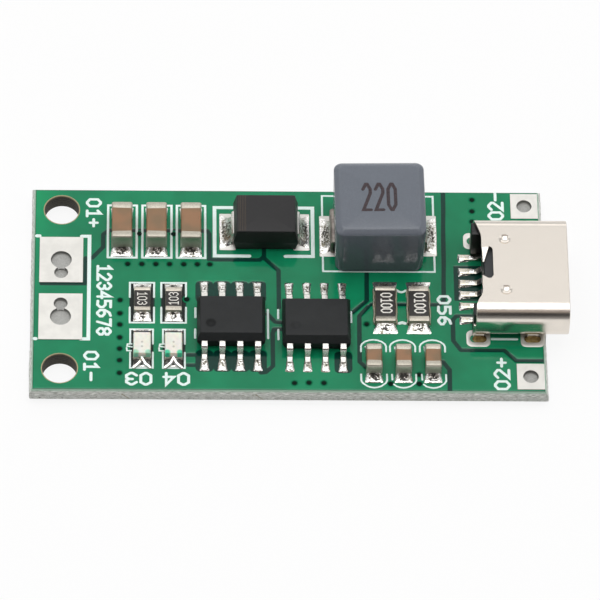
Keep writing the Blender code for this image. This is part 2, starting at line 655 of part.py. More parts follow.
def gull_wing_path():
    """Side view of a lead from inside the package out, down and along the board."""
    foot = SEAT_GAP + LEAD_THICKNESS / 2
    heel = LEAD_SPAN / 2 - LEAD_FOOT
    return [(IC_WIDTH / 2 - LEAD_ROOT, LEAD_HEIGHT), (heel - LEAD_RUN, LEAD_HEIGHT), (heel, foot),
            (LEAD_SPAN / 2, foot)]


def lead_frames():
    """Turn and shift of each lead of a package, counted round from the index corner."""
    near = [Matrix.Translation((x, 0, 0)) @ Matrix.Rotation(math.pi, 4, "Z") for x in row(0, LEAD_PITCH, 4)]
    far = [Matrix.Translation((x, 0, 0)) for x in reversed(row(0, LEAD_PITCH, 4))]
    return near + far


def build_package(name, at, material, lead_material):
    """Eight-lead package: drafted body with lead pockets, index dimple and gull-wing leads."""
    seat = Vector(at)
    body = stacked_block(name, [(IC_STANDOFF, IC_LENGTH - 2 * IC_DRAFT_END, IC_WIDTH - IC_DRAFT_SIDE),
                                (LEAD_HEIGHT - LEAD_THICKNESS / 2, IC_LENGTH, IC_WIDTH),
                                (LEAD_HEIGHT + LEAD_THICKNESS / 2, IC_LENGTH, IC_WIDTH),
                                (IC_HEIGHT, IC_LENGTH - 2 * IC_DRAFT_END, IC_WIDTH - 2 * IC_DRAFT_SIDE)])
    package = place(name + "_body", body, material, seat)
    pocket = strip_mesh(name + "_pocket", gull_wing_path(), LEAD_THICKNESS, LEAD_WIDTH, LEAD_BEND,
                        UPRIGHT_ACROSS, FIT_GAP)
    cut(package, name + "_pockets", merged(name + "_pockets", [(pocket, frame) for frame in lead_frames()]))
    index_at = (-IC_LENGTH / 2 + INDEX_DIMPLE_INSET_X, -IC_WIDTH / 2 + INDEX_DIMPLE_INSET_Y, IC_HEIGHT)
    cut(package, name + "_index", dimple_mesh(name + "_index", INDEX_DIMPLE, INDEX_DIMPLE_DEPTH, index_at))
    lead = strip_mesh(name + "_lead", gull_wing_path(), LEAD_THICKNESS, LEAD_WIDTH, LEAD_BEND, UPRIGHT_ACROSS)
    for index, frame in enumerate(lead_frames()):
        place("%s_lead_%d" % (name, index + 1), lead, lead_material,
              seat + frame.translation, frame.to_euler().z)


def build_packages():
    """The charger circuit and the switch beside it."""
    tinned = make_material("tinned_lead", (0.80, 0.80, 0.79), 0.25, 1.0)
    moulding = make_material("black_epoxy", (0.035, 0.035, 0.037), 0.55)
    build_package("charger_ic", on_board(*CHARGER_IC_PLACE), moulding, tinned)
    build_package("switch_ic", on_board(*SWITCH_IC_PLACE), moulding, tinned)


def folded_lead_path(reach, height, under, root, thickness):
    """Side view of a lead that leaves a body's end, drops down it and folds back under it."""
    outside = reach + FOLD_CLEARANCE + thickness / 2
    low = SEAT_GAP + thickness / 2
    return [(reach - root, height), (outside, height), (outside, low), (reach - under, low)]


def build_folded_part(name, mesh, material, path, thickness, width, lead_names, lead_material, at, turn=0.0):
    """A moulded body with a folded lead at each end; each lead's pocket follows its path."""
    body = place(name + "_body", mesh, material, at, turn)
    pocket = strip_mesh(name + "_pocket", path, thickness, width, FOLD_BEND, UPRIGHT_ALONG, FIT_GAP)
    turns = (Matrix.Identity(4), Matrix.Rotation(math.pi, 4, "Z"))
    cut(body, name + "_pockets", merged(name + "_pockets", [(pocket, half) for half in turns]))
    lead = strip_mesh(name + "_lead", path, thickness, width, FOLD_BEND, UPRIGHT_ALONG)
    for lead_name, half in zip(lead_names, (0.0, math.pi)):
        place(lead_name, lead, lead_material, at, turn + half)
    return body


def build_inductor():
    """Moulded power inductor: a rounded block on two folded terminals."""
    outline = rounded_rectangle(INDUCTOR_SIDE, INDUCTOR_SIDE, INDUCTOR_CORNER)
    height = INDUCTOR_HEIGHT - INDUCTOR_STANDOFF
    block = extruded("inductor", [outline], height)
    block.transform(Matrix.Translation((0, 0, INDUCTOR_STANDOFF + height / 2)))
    rim_edges(block, INDUCTOR_HEIGHT, INDUCTOR_RIM)
    path = folded_lead_path(INDUCTOR_SIDE / 2, INDUCTOR_LEAD_HEIGHT, INDUCTOR_LEAD_UNDER, INDUCTOR_LEAD_ROOT,
                            INDUCTOR_LEAD_THICKNESS)
    build_folded_part("inductor", smooth(block), make_material("iron_composite", (0.19, 0.21, 0.24), 0.6), path,
                      INDUCTOR_LEAD_THICKNESS, INDUCTOR_LEAD_WIDTH,
                      ("inductor_terminal_right", "inductor_terminal_left"),
                      make_material("inductor_terminal_metal", (0.70, 0.66, 0.60), 0.35, 1.0),
                      on_board(*INDUCTOR_PLACE), INDUCTOR_TURN)


def rim_edges(mesh, height, width):
    """Round the rim of the face at a given height."""
    bm = bmesh.new()
    bm.from_mesh(mesh)
    bmesh.ops.dissolve_limit(bm, angle_limit=math.radians(1), verts=bm.verts, edges=bm.edges)
    rim = [edge for edge in bm.edges if all(abs(vert.co.z - height) < FIT_GAP for vert in edge.verts)]
    bmesh.ops.bevel(bm, geom=rim, offset=width, segments=3, affect="EDGES", profile=0.5)
    bm.to_mesh(mesh)
    bm.free()


def build_diode():
    """Moulded diode with a folded lead at each end."""
    block = stacked_block("diode", [(DIODE_STANDOFF, DIODE_LENGTH - 2 * DIODE_DRAFT, DIODE_WIDTH - 2 * DIODE_DRAFT),
                                    (DIODE_LEAD_HEIGHT, DIODE_LENGTH, DIODE_WIDTH),
                                    (DIODE_HEIGHT, DIODE_LENGTH - 2 * DIODE_DRAFT,
                                     DIODE_WIDTH - 2 * DIODE_DRAFT)])
    path = folded_lead_path(DIODE_LENGTH / 2, DIODE_LEAD_HEIGHT, DIODE_LEAD_UNDER, DIODE_LEAD_ROOT,
                            DIODE_LEAD_THICKNESS)
    build_folded_part("diode", block, make_material("diode_epoxy", (0.04, 0.038, 0.038), 0.5), path,
                      DIODE_LEAD_THICKNESS, DIODE_LEAD_WIDTH, ("diode_lead_anode", "diode_lead_cathode"),
                      make_material("diode_lead_metal", (0.76, 0.75, 0.72), 0.3, 1.0), on_board(*DIODE_PLACE))


def build_chip(name, size, end_length, edge, material, at):
    """A ceramic chip with a metal cap standing slightly proud at each end."""
    length, width, height = size
    centre_z = SEAT_GAP + height / 2
    core = box_mesh(name, (width - 2 * CHIP_END_PROUD, length - end_length, height - 2 * CHIP_END_PROUD),
                    (0, 0, centre_z))
    chip = place(name, core, material, at)
    for side, label in ((1, "far"), (-1, "near")):
        cap = box_mesh(name + "_cap_" + label, (width, end_length, height),
                       (0, side * (length - end_length) / 2, centre_z))
        bm = bmesh.new()
        bm.from_mesh(cap)
        bmesh.ops.bevel(bm, geom=bm.edges, offset=edge, segments=2, affect="EDGES", profile=0.5)
        bm.to_mesh(cap)
        bm.free()
        cut(chip, name + "_cap_" + label, cap, "UNION")


def build_chips():
    """Capacitors and resistors, in rows."""
    rows = (
        ("output_capacitor", LARGE_CAPACITOR, LARGE_CAPACITOR_END, CAPACITOR_EDGE, (0.36, 0.20, 0.12),
         LARGE_CAPACITOR_PLACE, LARGE_CAPACITOR_PITCH, 3),
        ("input_capacitor", SMALL_CAPACITOR, SMALL_CAPACITOR_END, CAPACITOR_EDGE, (0.34, 0.19, 0.12),
         SMALL_CAPACITOR_PLACE, SMALL_CAPACITOR_PITCH, 3),
        ("sense_resistor", SENSE_RESISTOR, SENSE_RESISTOR_END, RESISTOR_EDGE, (0.03, 0.03, 0.03),
         SENSE_RESISTOR_PLACE, SENSE_RESISTOR_PITCH, 2),
        ("lamp_resistor", SMALL_RESISTOR, SMALL_RESISTOR_END, RESISTOR_EDGE, (0.035, 0.032, 0.03),
         (LAMP_COLUMN_SHARE, SMALL_RESISTOR_ROW_SHARE), LAMP_COLUMN_PITCH, 2),
    )
    for name, size, end_length, edge, colour, middle, pitch, count in rows:
        material = make_material(name + "_ceramic", colour, 0.5)
        for index, x in enumerate(row(along(middle[0]), pitch, count)):
            build_chip("%s_%d" % (name, index + 1), size, end_length, edge, material,
                       (x, across(middle[1]), 0))


def build_lamps():
    """Two indicator lamps, each a notched base and a cast lens."""
    base_material = make_material("lamp_base", (0.75, 0.74, 0.70), 0.45)
    lens_material = make_material("lamp_lens", (0.85, 0.84, 0.78), 0.3)
    base_top = SEAT_GAP + LAMP_BASE_HEIGHT
    for index, x in enumerate(row(along(LAMP_COLUMN_SHARE), LAMP_COLUMN_PITCH, 2)):
        at = (x, across(LAMP_ROW_SHARE), 0)
        name = "lamp_%d_base" % (index + 1)
        base = box_mesh(name, (LAMP_WIDTH, LAMP_LENGTH, LAMP_BASE_HEIGHT),
                        (0, 0, SEAT_GAP + LAMP_BASE_HEIGHT / 2))
        piece = place(name, base, base_material, at)
        for side, label in ((1, "far"), (-1, "near")):
            notch = cylinder_mesh(name + "_notch_" + label, LAMP_NOTCH, -CUT_MARGIN, base_top + CUT_MARGIN,
                                  (0, side * LAMP_LENGTH / 2), NOTCH_SEGMENTS)
            cut(piece, name + "_notch_" + label, notch)
        lens_low = base_top + FIT_GAP
        lens = stacked_block("lamp_%d_lens" % (index + 1), [
            (lens_low, LAMP_WIDTH, LENS_LENGTH),
            (SEAT_GAP + LAMP_HEIGHT, LAMP_WIDTH - LENS_DRAFT, LENS_LENGTH - 2 * LENS_DRAFT)])
        cast = place("lamp_%d_lens" % (index + 1), lens, lens_material, at)
        round_edges(cast, LENS_DRAFT)


build_board()
build_wire_pads()
build_shell()
build_housing()
build_contacts()
build_packages()
build_inductor()
build_diode()
build_chips()
build_lamps()
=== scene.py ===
"""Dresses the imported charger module: board finish, solder, printed legend, parts and studio.

Shapes are worked out with numpy on grids of points in millimetres on the board: x along it
from its middle, y across it, z up from its green top face. A mesh is written in metres in the
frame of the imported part.
"""

import math

import bmesh
import bpy
import numpy as np
from bpy.props import FloatProperty, FloatVectorProperty, PointerProperty
from mathutils import Matrix, Vector


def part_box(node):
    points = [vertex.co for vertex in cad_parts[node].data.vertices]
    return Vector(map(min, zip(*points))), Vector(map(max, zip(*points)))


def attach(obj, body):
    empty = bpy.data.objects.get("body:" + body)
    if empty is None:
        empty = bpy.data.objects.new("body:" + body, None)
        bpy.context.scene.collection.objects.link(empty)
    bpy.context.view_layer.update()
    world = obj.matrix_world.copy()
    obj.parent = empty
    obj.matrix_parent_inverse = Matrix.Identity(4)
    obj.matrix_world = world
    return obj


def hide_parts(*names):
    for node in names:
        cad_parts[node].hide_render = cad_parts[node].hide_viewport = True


bl_info = {
    "name": "Charger module dressing",
    "version": (1, 0, 0),
    "blender": (4, 5, 0),
    "location": "3D View > Sidebar > Charger module",
    "description": "Finishes, solder, legend and studio round a packed charger module",
    "category": "Add Mesh",
}

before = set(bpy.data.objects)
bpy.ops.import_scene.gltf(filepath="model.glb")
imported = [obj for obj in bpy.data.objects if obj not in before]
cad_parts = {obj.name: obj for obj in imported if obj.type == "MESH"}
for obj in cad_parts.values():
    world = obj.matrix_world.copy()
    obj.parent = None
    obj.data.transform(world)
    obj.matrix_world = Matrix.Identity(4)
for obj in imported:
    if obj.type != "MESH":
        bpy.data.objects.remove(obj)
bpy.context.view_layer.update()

MM = 0.001
SCORE_REACH = 0.22                  # how far the snapped web stands out past the board's faces
BOARD_LOW, BOARD_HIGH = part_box("board")
ORIGIN = np.array([(BOARD_LOW.x + BOARD_HIGH.x) / 2, (BOARD_LOW.y + BOARD_HIGH.y) / 2, BOARD_HIGH.z])
HALF_LENGTH = (BOARD_HIGH.x - BOARD_LOW.x) / MM / 2 - SCORE_REACH
HALF_WIDTH = (BOARD_HIGH.y - BOARD_LOW.y) / MM / 2 - SCORE_REACH
BOARD_DEPTH = (BOARD_HIGH.z - BOARD_LOW.z) / MM

LAMINATE_TOP = 0.004                # green face where no copper lies
POUR_TOP = 0.026                    # green face over copper
LAND_TOP = 0.034                    # bare tinned lands round the parts
WELD = 1e-7                         # points of one mesh closer than this are one point, in metres
ARC_STEPS = 5                       # straight pieces in each bend of a lead
PACKAGES = {                        # how far each sits short of its place, and how dark its index dip is
    "charger_ic": (0.0, 0.7),
    "switch_ic": (0.12, 0.15),
}


def screen(red, green, blue):
    """A colour read off a screen in steps of 255, as the linear one that a shader takes."""
    shares = np.array([red, green, blue]) / 255
    linear = np.where(shares <= 0.04045, shares / 12.92, ((shares + 0.055) / 1.055) ** 2.4)
    return tuple(float(share) for share in linear)


def node_box(name):
    """A node's lowest and highest corner in millimetres on the board."""
    low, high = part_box(name)
    return (np.array(low) - ORIGIN) / MM, (np.array(high) - ORIGIN) / MM


def node_middle(name):
    """The middle of a node's box, in millimetres on the board."""
    low, high = node_box(name)
    return (low + high) / 2


def smooth_step(value, low, high):
    """0 below low, 1 above high, and three t squared less two t cubed between."""
    share = np.clip((value - low) / (high - low), 0, 1)
    return share * share * (3 - 2 * share)


# Surfaces


def rounded_outline(half_x, half_y, corner, steps):
    """Rounded rectangles, one a level: each corner is a quarter circle about its own centre."""
    half_x, half_y, corner = np.broadcast_arrays(*(np.atleast_1d(np.asarray(size, float))
                                                   for size in (half_x, half_y, corner)))
    half_x, half_y, corner = (size[:, None, None] for size in (half_x, half_y, corner))
    angle = (np.arange(4)[:, None] + np.linspace(0, 1, steps + 1)) * math.pi / 2
    side_x = np.array([1, -1, -1, 1])[:, None]
    side_y = np.array([1, 1, -1, -1])[:, None]
    x = side_x * (half_x - corner) + corner * np.cos(angle)
    y = side_y * (half_y - corner) + corner * np.sin(angle)
    return np.stack([x, y], -1).reshape(len(half_x), -1, 2)


def with_holds(outline, gap):
    """A closed outline with two more points on each long straight run, close to its ends.

    They keep the shading of an arc from reaching over the flat beside it.
    """
    following = np.roll(outline, -1, axis=0)
    length = np.linalg.norm(following - outline, axis=1)
    step = (following - outline) / length[:, None] * gap
    points = np.stack([outline, outline + step, following - step], 1)
    keep = np.stack([length > 0, length > 6 * gap, length > 6 * gap], 1)
    return points[keep]


def closed_rows(grid):
    """The grid with one more row at each end, all at that end's middle, which closes it."""
    first = np.broadcast_to(grid[:1].mean(axis=1, keepdims=True), grid[:1].shape)
    last = np.broadcast_to(grid[-1:].mean(axis=1, keepdims=True), grid[-1:].shape)
    return np.concatenate([first, grid, last])


def lofted(heights, half_x, half_y, corner, steps=6, closed=True):
    """Rounded rectangles stacked at their heights: one row of the grid for each."""
    outline = rounded_outline(half_x, half_y, corner, steps)
    level = np.broadcast_to(np.asarray(heights, float)[:, None, None], outline.shape[:2] + (1,))
    grid = np.concatenate([outline, level], -1)
    return closed_rows(grid) if closed else grid


def soft_block(low, high, half_x, half_y, corner, edge, steps, drafts=(0, 0)):
    """A block whose rims follow quarter circles: each level is drawn in by edge times one less sine.

    The two drafts draw the lowest and the highest level in as well, in step with the height.
    """
    turn = np.linspace(0, math.pi / 2, steps + 1)
    rise, inset = edge * (1 - np.cos(turn)), edge * (1 - np.sin(turn))
    heights = np.concatenate([low + rise, (high - rise)[::-1]])
    insets = np.concatenate([inset, inset[::-1]])
    share = (heights - low) / (high - low)
    insets = insets + drafts[0] * (1 - share) + drafts[1] * share
    return lofted(heights, half_x - insets, half_y - insets, np.maximum(corner - insets, edge / 4))


def bent_path(corners, radius):
    """A path of straight runs joined by arcs that touch both runs at each corner."""
    corners = np.asarray(corners, float)
    points = [corners[0]]
    for before, corner, after in zip(corners, corners[1:], corners[2:]):
        back = (before - corner) / np.linalg.norm(before - corner)
        ahead = (after - corner) / np.linalg.norm(after - corner)
        half = math.acos(np.clip(back @ ahead, -1, 1)) / 2
        middle = corner + (back + ahead) / np.linalg.norm(back + ahead) * radius / math.sin(half)
        first = corner + back * radius / math.tan(half) - middle
        last = corner + ahead * radius / math.tan(half) - middle
        sweep = math.atan2(first[0] * last[1] - first[1] * last[0], first @ last)
        turn = np.linspace(0, sweep, ARC_STEPS + 1)[:, None]
        points.extend(middle + first * np.cos(turn) + np.array([-first[1], first[0]]) * np.sin(turn))
    points.append(corners[-1])
    return np.array(points)


def path_normals(path, closed=False):
    """Left-hand normals of a flat path, lengthened at corners so that a band keeps its width."""
    if closed:
        ahead = np.roll(path, -1, axis=0) - path
        behind = path - np.roll(path, 1, axis=0)
    else:
        steps = np.diff(path, axis=0)
        ahead = np.concatenate([steps, steps[-1:]])
        behind = np.concatenate([steps[:1], steps])
    ahead = ahead / np.linalg.norm(ahead, axis=1, keepdims=True)
    behind = behind / np.linalg.norm(behind, axis=1, keepdims=True)
    along = ahead + behind
    along = along / np.linalg.norm(along, axis=1, keepdims=True)
    reach = np.maximum((along * ahead).sum(1, keepdims=True), 0.4)
    return np.stack([-along[:, 1], along[:, 0]], 1) / reach


def bent_strip(path, half_width, half_thickness, corner):
    """A strip of metal: a rounded rectangle carried along a path in the plane of y and z.

    half_width may be one number or one for each point of the path.
    """
    normal = path_normals(path)
    half_width = np.broadcast_to(np.asarray(half_width, float), (len(path),))
    profile = rounded_outline(half_width, half_thickness, corner, 3)
    y = path[:, None, 0] + normal[:, None, 0] * profile[..., 1]
    z = path[:, None, 1] + normal[:, None, 1] * profile[..., 1]
    return closed_rows(np.stack([profile[..., 0], y, z], -1))


def laid_along(grid):
    """A grid stacked along z, laid down so that its stack runs along x."""
    return grid[..., [2, 0, 1]]


def turned(grid, degrees, at=(0, 0, 0)):
    """A grid turned about the upright axis and then moved."""
    cosine, sine = math.cos(math.radians(degrees)), math.sin(math.radians(degrees))
    return grid @ np.array([[cosine, sine, 0], [-sine, cosine, 0], [0, 0, 1]]) + np.asarray(at, float)


def turned_profile(profile, centre, turns):
    """A profile of (radius, height) turned a full circle about an upright axis."""
    angle = np.linspace(0, 2 * math.pi, turns, endpoint=False)
    profile = np.asarray(profile, float)
    x = centre[0] + profile[:, :1] * np.cos(angle)
    y = centre[1] + profile[:, :1] * np.sin(angle)
    return np.stack([x, y, np.broadcast_to(profile[:, 1:], x.shape)], -1)


def stroke(path, width, low=POUR_TOP, rise=0.012, power=4):
    """A printed line: a low crowned band along a flat path, with half-round ends.

    Across the band the height falls with a power of the distance from its middle.
    """
    path = np.asarray(path, float)
    share = np.linspace(-1, 1, 7)
    turn = np.linspace(0, math.pi / 2, 5)[:-1]
    lead_in, lead_out = path[0] - path[1], path[-1] - path[-2]
    lead_in, lead_out = lead_in / np.linalg.norm(lead_in), lead_out / np.linalg.norm(lead_out)
    start = path[0] + lead_in * (width / 2 * np.cos(turn))[:, None]
    end = path[-1] + lead_out * (width / 2 * np.cos(turn[::-1]))[:, None]
    taper = width / 2 * np.sin(turn)
    half = np.concatenate([taper, np.full(len(path), width / 2), taper[::-1]])
    path = np.concatenate([start, path, end])
    across = half[:, None, None] * share[None, :, None]
    flat = path[:, None] + path_normals(path)[:, None] * across
    crown = low + rise * (1 - np.abs(share) ** power)
    return np.concatenate([flat, np.broadcast_to(crown[None, :, None], flat.shape[:2] + (1,))], -1)


def solder_slope(toe, heel, half_toe, half_heel, rise, seed, lip=0.05, steps=14, sag=1.7):
    """Solder that climbs an end face from the toe of its land, along y at x = 0.

    Its height grows from the lip with a power of the share s of the way in, which leaves the
    slope hollow, and the lip is rounded by a quarter ellipse. Across, it falls to the land with
    the fifth power of the distance from its middle, and the toe bulges by a parabola. Two low
    waves with seeded phases keep the face from being too regular.
    """
    phase = np.random.default_rng(seed).uniform(0, 2 * math.pi, 2)
    s = np.linspace(0, 1, steps)[:, None]
    t = np.linspace(-1, 1, 15)[None, :]
    half = half_toe + (half_heel - half_toe) * s ** 0.8
    waves = 0.03 * np.sin(5 * s + 3 * t + phase[0]) + 0.02 * np.sin(9 * t - 4 * s + phase[1])
    rounded = np.sqrt(np.clip(1 - (1 - np.minimum(s / 0.12, 1)) ** 2, 0, 1))
    height = (lip * rounded + (rise - lip) * s ** sag) * (1 - np.abs(t) ** 5) * (1 + waves)
    bow = 0.06 * (1 - t * t) * (1 - s)
    y = toe + (heel - toe) * (s - bow * (1 - s))
    return np.stack([half * t, y + 0 * t, LAND_TOP - 0.01 + height], -1)


def middle_share(grid, first, last, half):
    """1 along a slope's middle between two shares of its rise, falling off over the half width."""
    s, t = np.linspace(0, 1, grid.shape[0])[:, None], np.linspace(-1, 1, grid.shape[1])
    inside = smooth_step(s, first, first + 0.15) * (1 - smooth_step(s, last, last + 0.15))
    return np.exp(-(t / half) ** 2) * inside


class Shape:
    """Grids of points gathered into one mesh, each point with a value that its finish may read."""

    def __init__(self):
        self.points, self.faces, self.values, self.count = [], [], [], 0

    def add(self, grid, around=False, value=0.0, keep=None):
        """Add a grid (rows, columns, 3); around joins its last column to its first one."""
        rows, columns = grid.shape[:2]
        index = self.count + np.arange(rows * columns).reshape(rows, columns)
        left, right = (index, np.roll(index, -1, axis=1)) if around else (index[:, :-1], index[:, 1:])
        quads = np.stack([left[:-1], left[1:], right[1:], right[:-1]], -1).reshape(-1, 4)
        self.faces.append(quads if keep is None else quads[keep.ravel()])
        self.points.append(grid.reshape(-1, 3))
        self.values.append(np.broadcast_to(value, (rows, columns)).ravel())
        self.count += rows * columns
        return self

    def mesh(self, name, solid=True, sharp=40):
        """One mesh in metres, with its doubles merged; solid turns its faces outward."""
        points = np.concatenate(self.points) * MM + ORIGIN
        faces = np.concatenate(self.faces)
        mesh = bpy.data.meshes.new(name)
        mesh.vertices.add(len(points))
        mesh.vertices.foreach_set("co", points.astype(np.float32).ravel())
        mesh.loops.add(faces.size)
        mesh.loops.foreach_set("vertex_index", faces.astype(np.int32).ravel())
        mesh.polygons.add(len(faces))
        mesh.polygons.foreach_set("loop_start", np.arange(0, faces.size, 4, dtype=np.int32))
        mesh.attributes.new("tone", "FLOAT", "POINT").data.foreach_set(
            "value", np.concatenate(self.values).astype(np.float32))
        mesh.update(calc_edges=True)
        bm = bmesh.new()
        bm.from_mesh(mesh)
        bmesh.ops.delete(bm, geom=[vert for vert in bm.verts if not vert.link_faces], context="VERTS")
        bmesh.ops.remove_doubles(bm, verts=bm.verts, dist=WELD)
        if solid:
            bmesh.ops.recalc_face_normals(bm, faces=bm.faces)
        bm.to_mesh(mesh)
        bm.free()
        mesh.shade_smooth()
        mesh.set_sharp_from_angle(angle=math.radians(sharp))
        return mesh

    def put(self, name, material, slot, replaces=(), solid=True, sharp=40):
        """Make the mesh and link it as a piece that rides on the module."""
        put(name, self.mesh(name, solid, sharp), material, replaces)


def put(name, mesh, material, replaces=()):
    """Link a finished mesh as a piece that rides on the module."""
    piece = bpy.data.objects.new(name, mesh)
    bpy.context.scene.collection.objects.link(piece)
    mesh.materials.clear()
    mesh.materials.append(material)
    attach(piece, "root")
    if replaces:
        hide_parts(*replaces)


def paint_nodes(names, material):
    """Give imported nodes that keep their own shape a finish."""
    for name in names:
        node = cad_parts[name]
        node.data.materials.clear()
        node.data.materials.append(material)


# Materials


class Paint:
    """A number, colour or vector that varies over a surface: one output of a material's nodes."""

    def __init__(self, tree, socket=None):
        self.tree, self.socket = tree, socket

    def node(self, kind, settings, inputs, output=0):
        """Add a shader node: its settings first, then the values or links of its inputs."""
        made = self.tree.nodes.new("ShaderNode" + kind)
        for key, value in settings.items():
            setattr(made, key, value)
        for key, value in inputs.items():
            if isinstance(value, Paint):
                self.tree.links.new(value.socket, made.inputs[key])
            else:
                made.inputs[key].default_value = value
        return Paint(self.tree, made.outputs[output])

    def maths(self, operation, other=0.0):
        """A Math node on this value and another."""
        return self.node("Math", {"operation": operation}, {0: self, 1: other})

    def __add__(self, other):
        return self.maths("ADD", other)

    __radd__ = __add__

    def __sub__(self, other):
        return self.maths("SUBTRACT", other)

    def __rsub__(self, other):
        return self.node("Math", {"operation": "SUBTRACT"}, {0: other, 1: self})

    def __mul__(self, other):
        return self.maths("MULTIPLY", other)

    def between(self, low, high):
        """0 below low, 1 above high, smooth between them."""
        return self.node("MapRange", {"interpolation_type": "SMOOTHSTEP"},
                         {"Value": self, "From Min": low, "From Max": high})

    def mix(self, start, end):
        """The start colour where this value is 0 and the end colour where it is 1."""
        colours = [item if isinstance(item, Paint) else (*item, 1.0) for item in (start, end)]
        return self.node("Mix", {"data_type": "RGBA"}, {0: self, 6: colours[0], 7: colours[1]}, 2)

    def part(self, axis):
        """One part of a vector."""
        return self.node("SeparateXYZ", {}, {"Vector": self}, axis)

    def clouds(self, scale, detail, roughness):
        """Noise at the place that this vector gives, scaled along each axis."""
        scaled = self.node("Mapping", {}, {"Vector": self, "Scale": scale})
        return self.node("TexNoise", {}, {"Vector": scaled, "Scale": 1.0, "Detail": detail,
                                          "Roughness": roughness})

    def noise(self, size, detail, roughness=0.5, stretch=(1, 1, 1)):
        """Noise about the size given in millimetres, drawn out along the axes by stretch."""
        place = self.node("TexCoord", {}, {}, "Object")
        return place.clouds([1 / (size * MM * share) for share in stretch], detail, roughness)

    def tone(self):
        """The value that a mesh holds at each point."""
        return self.node("Attribute", {"attribute_name": "tone"}, {}, "Fac")

    def place(self, axis):
        """One coordinate of the point, in millimetres on the board."""
        where = self.node("TexCoord", {}, {}, "Object").part(axis)
        return where * (1 / MM) - float(ORIGIN["XYZ".index(axis)] / MM)

    def level(self, low, high):
        """1 on level faces and 0 on walls, by the upright part of the surface's own normal."""
        normal = self.node("NewGeometry", {}, {}, "True Normal")
        return normal.part("Z").maths("ABSOLUTE").between(low, high)


def make_material(name, finish):
    """A Principled material. finish(paint) gives its sockets' values, with Height for its bump."""
    material = bpy.data.materials.new(name)
    material.use_nodes = True
    shader = material.node_tree.nodes["Principled BSDF"]
    paint = Paint(material.node_tree)
    values = finish(paint)
    if "Height" in values:
        height, strength, depth = values.pop("Height")
        values["Normal"] = paint.node("Bump", {}, {"Height": height, "Strength": strength,
                                                   "Distance": depth * MM})
    for key, value in values.items():
        if isinstance(value, Paint):
            material.node_tree.links.new(value.socket, shader.inputs[key])
        else:
            shader.inputs[key].default_value = (*value, 1.0) if isinstance(value, tuple) else value
    return material


def darker(colour, share):
    """The same colour at a share of its light."""
    return tuple(part * share for part in colour)


def green_mask(paint):
    """Glossy green lacquer: darker where no copper lies under it, with faint clouding, painted brighter
    and greener toward the left far corner as light through the board, and painted near black as shade in
    the shaded areas.
    """
    board = bpy.context.scene.charger_board
    cloud = paint.noise(2.6, 2.0).between(0.3, 0.75)
    fine = paint.noise(0.12, 3.0)
    over_copper = cloud.mix(board.mask_colour, darker(board.mask_colour, 1.24))
    # Painted light: a brighter, greener glow toward the left far corner, as if lit through the board
    # from below.
    corner = (0 - paint.place("X")).between(15.0, 19.5) * paint.place("Y").between(1.0, 9.6)
    lacquer = (corner * 0.8).mix(over_copper, screen(14, 166, 104))
    groove = board.groove_colour
    bare = fine.between(0.3, 0.7).mix(darker(groove, 0.9), darker(groove, 1.15))
    # Painted shade: near black in the shaded areas inside the printed frames.
    shaded = paint.tone().between(1.2, 1.8).mix(bare, screen(10, 26, 22))
    return {"Base Color": paint.tone().between(0.3, 0.7).mix(lacquer, shaded),
            "Roughness": 0.07 + fine * 0.05, "Specular IOR Level": 0.34,
            "Height": (cloud * 2 + fine * 0.3, 0.15, 0.004)}


def board_laminate(paint):
    """Glass-fibre laminate under green lacquer: level faces are green, walls show the fibre."""
    board = bpy.context.scene.charger_board
    fibre = paint.noise(0.09, 4.0, 0.6, (3, 3, 0.6)).between(0.3, 0.7)
    wall = fibre.mix(screen(130, 126, 104), screen(190, 188, 172))
    return {"Base Color": paint.level(0.75, 0.9).mix(wall, board.mask_colour),
            "Roughness": 0.42 + fibre * 0.2, "Height": (fibre, 0.4, 0.01)}


def fibre_edge(paint):
    """Snapped laminate: pale resin and threads drawn out along the edge, with dark patches on its lower
    half: partly broken fibre ends, partly painted shade under the scored web.
    """
    along = paint.node("UVMap", {"uv_map": EDGE_MAP}, {})
    streak = along.clouds((2.2, 26.0, 1.0), 5.0, 0.62)
    broken = along.clouds((5.5, 9.0, 1.0), 3.0, 0.7)
    share = paint.tone()
    resin = streak.between(0.36, 0.62).mix(screen(150, 154, 146), screen(236, 238, 233))
    # Painted shade: the dark patches lie only on the lower half of the edge, under the scored web.
    dark = (broken.between(0.56, 0.66) * share.between(0.35, 0.6)).mix(resin, screen(84, 80, 72))
    return {"Base Color": share.between(0.0, 0.16).mix(screen(150, 186, 164), dark), "Roughness": 0.6,
            "Height": (streak + broken, 0.5, 0.03)}


def hole_wall(paint):
    """Drilled laminate: tan at the rim, then brown fibre down the wall, painted near black as the shade
    inside the hole.
    """
    fibre = paint.noise(0.07, 4.0, 0.6, (1, 1, 3)).between(0.3, 0.7)
    # Painted shade: far darker than the same laminate at the board's edges.
    wall = fibre.mix(screen(24, 22, 11), screen(58, 54, 30))
    return {"Base Color": paint.tone().mix(wall, screen(176, 164, 128)), "Roughness": 0.6,
            "Height": (fibre, 0.5, 0.02)}


def tinned_copper(paint):
    """Hot-air levelled tin: nearly flat, with a soft grey cloud and fine pits.

    The barrels are painted dark near the top face and pale deep down, as painted shade at the hole's
    rim; the plugs in them, which hold a tone of 1, are duller.
    """
    metal = bpy.context.scene.charger_metals
    cloud = paint.noise(0.8, 2.0).between(0.3, 0.7)
    fine = paint.noise(0.06, 3.0)
    level, tone = paint.level(0.6, 0.9), paint.tone()
    # Painted shade: the barrel walls are dark near the top face and pale deep down.
    barrel = paint.place("Z").between(-1.3, -0.05).mix(screen(206, 206, 200), screen(124, 124, 120))
    open_face = cloud.mix(darker(metal.tin_colour, 0.88), darker(metal.tin_colour, 0.8))
    plug = fine.between(0.35, 0.65).mix(screen(160, 160, 157), screen(184, 184, 180))
    return {"Base Color": level.mix(barrel, tone.mix(open_face, plug)),
            "Metallic": (level * 0.3 + 0.25) * (1 - tone * 0.8),
            "Roughness": 0.36 + fine * 0.16, "Height": (fine + cloud * 3, 0.25, 0.006)}


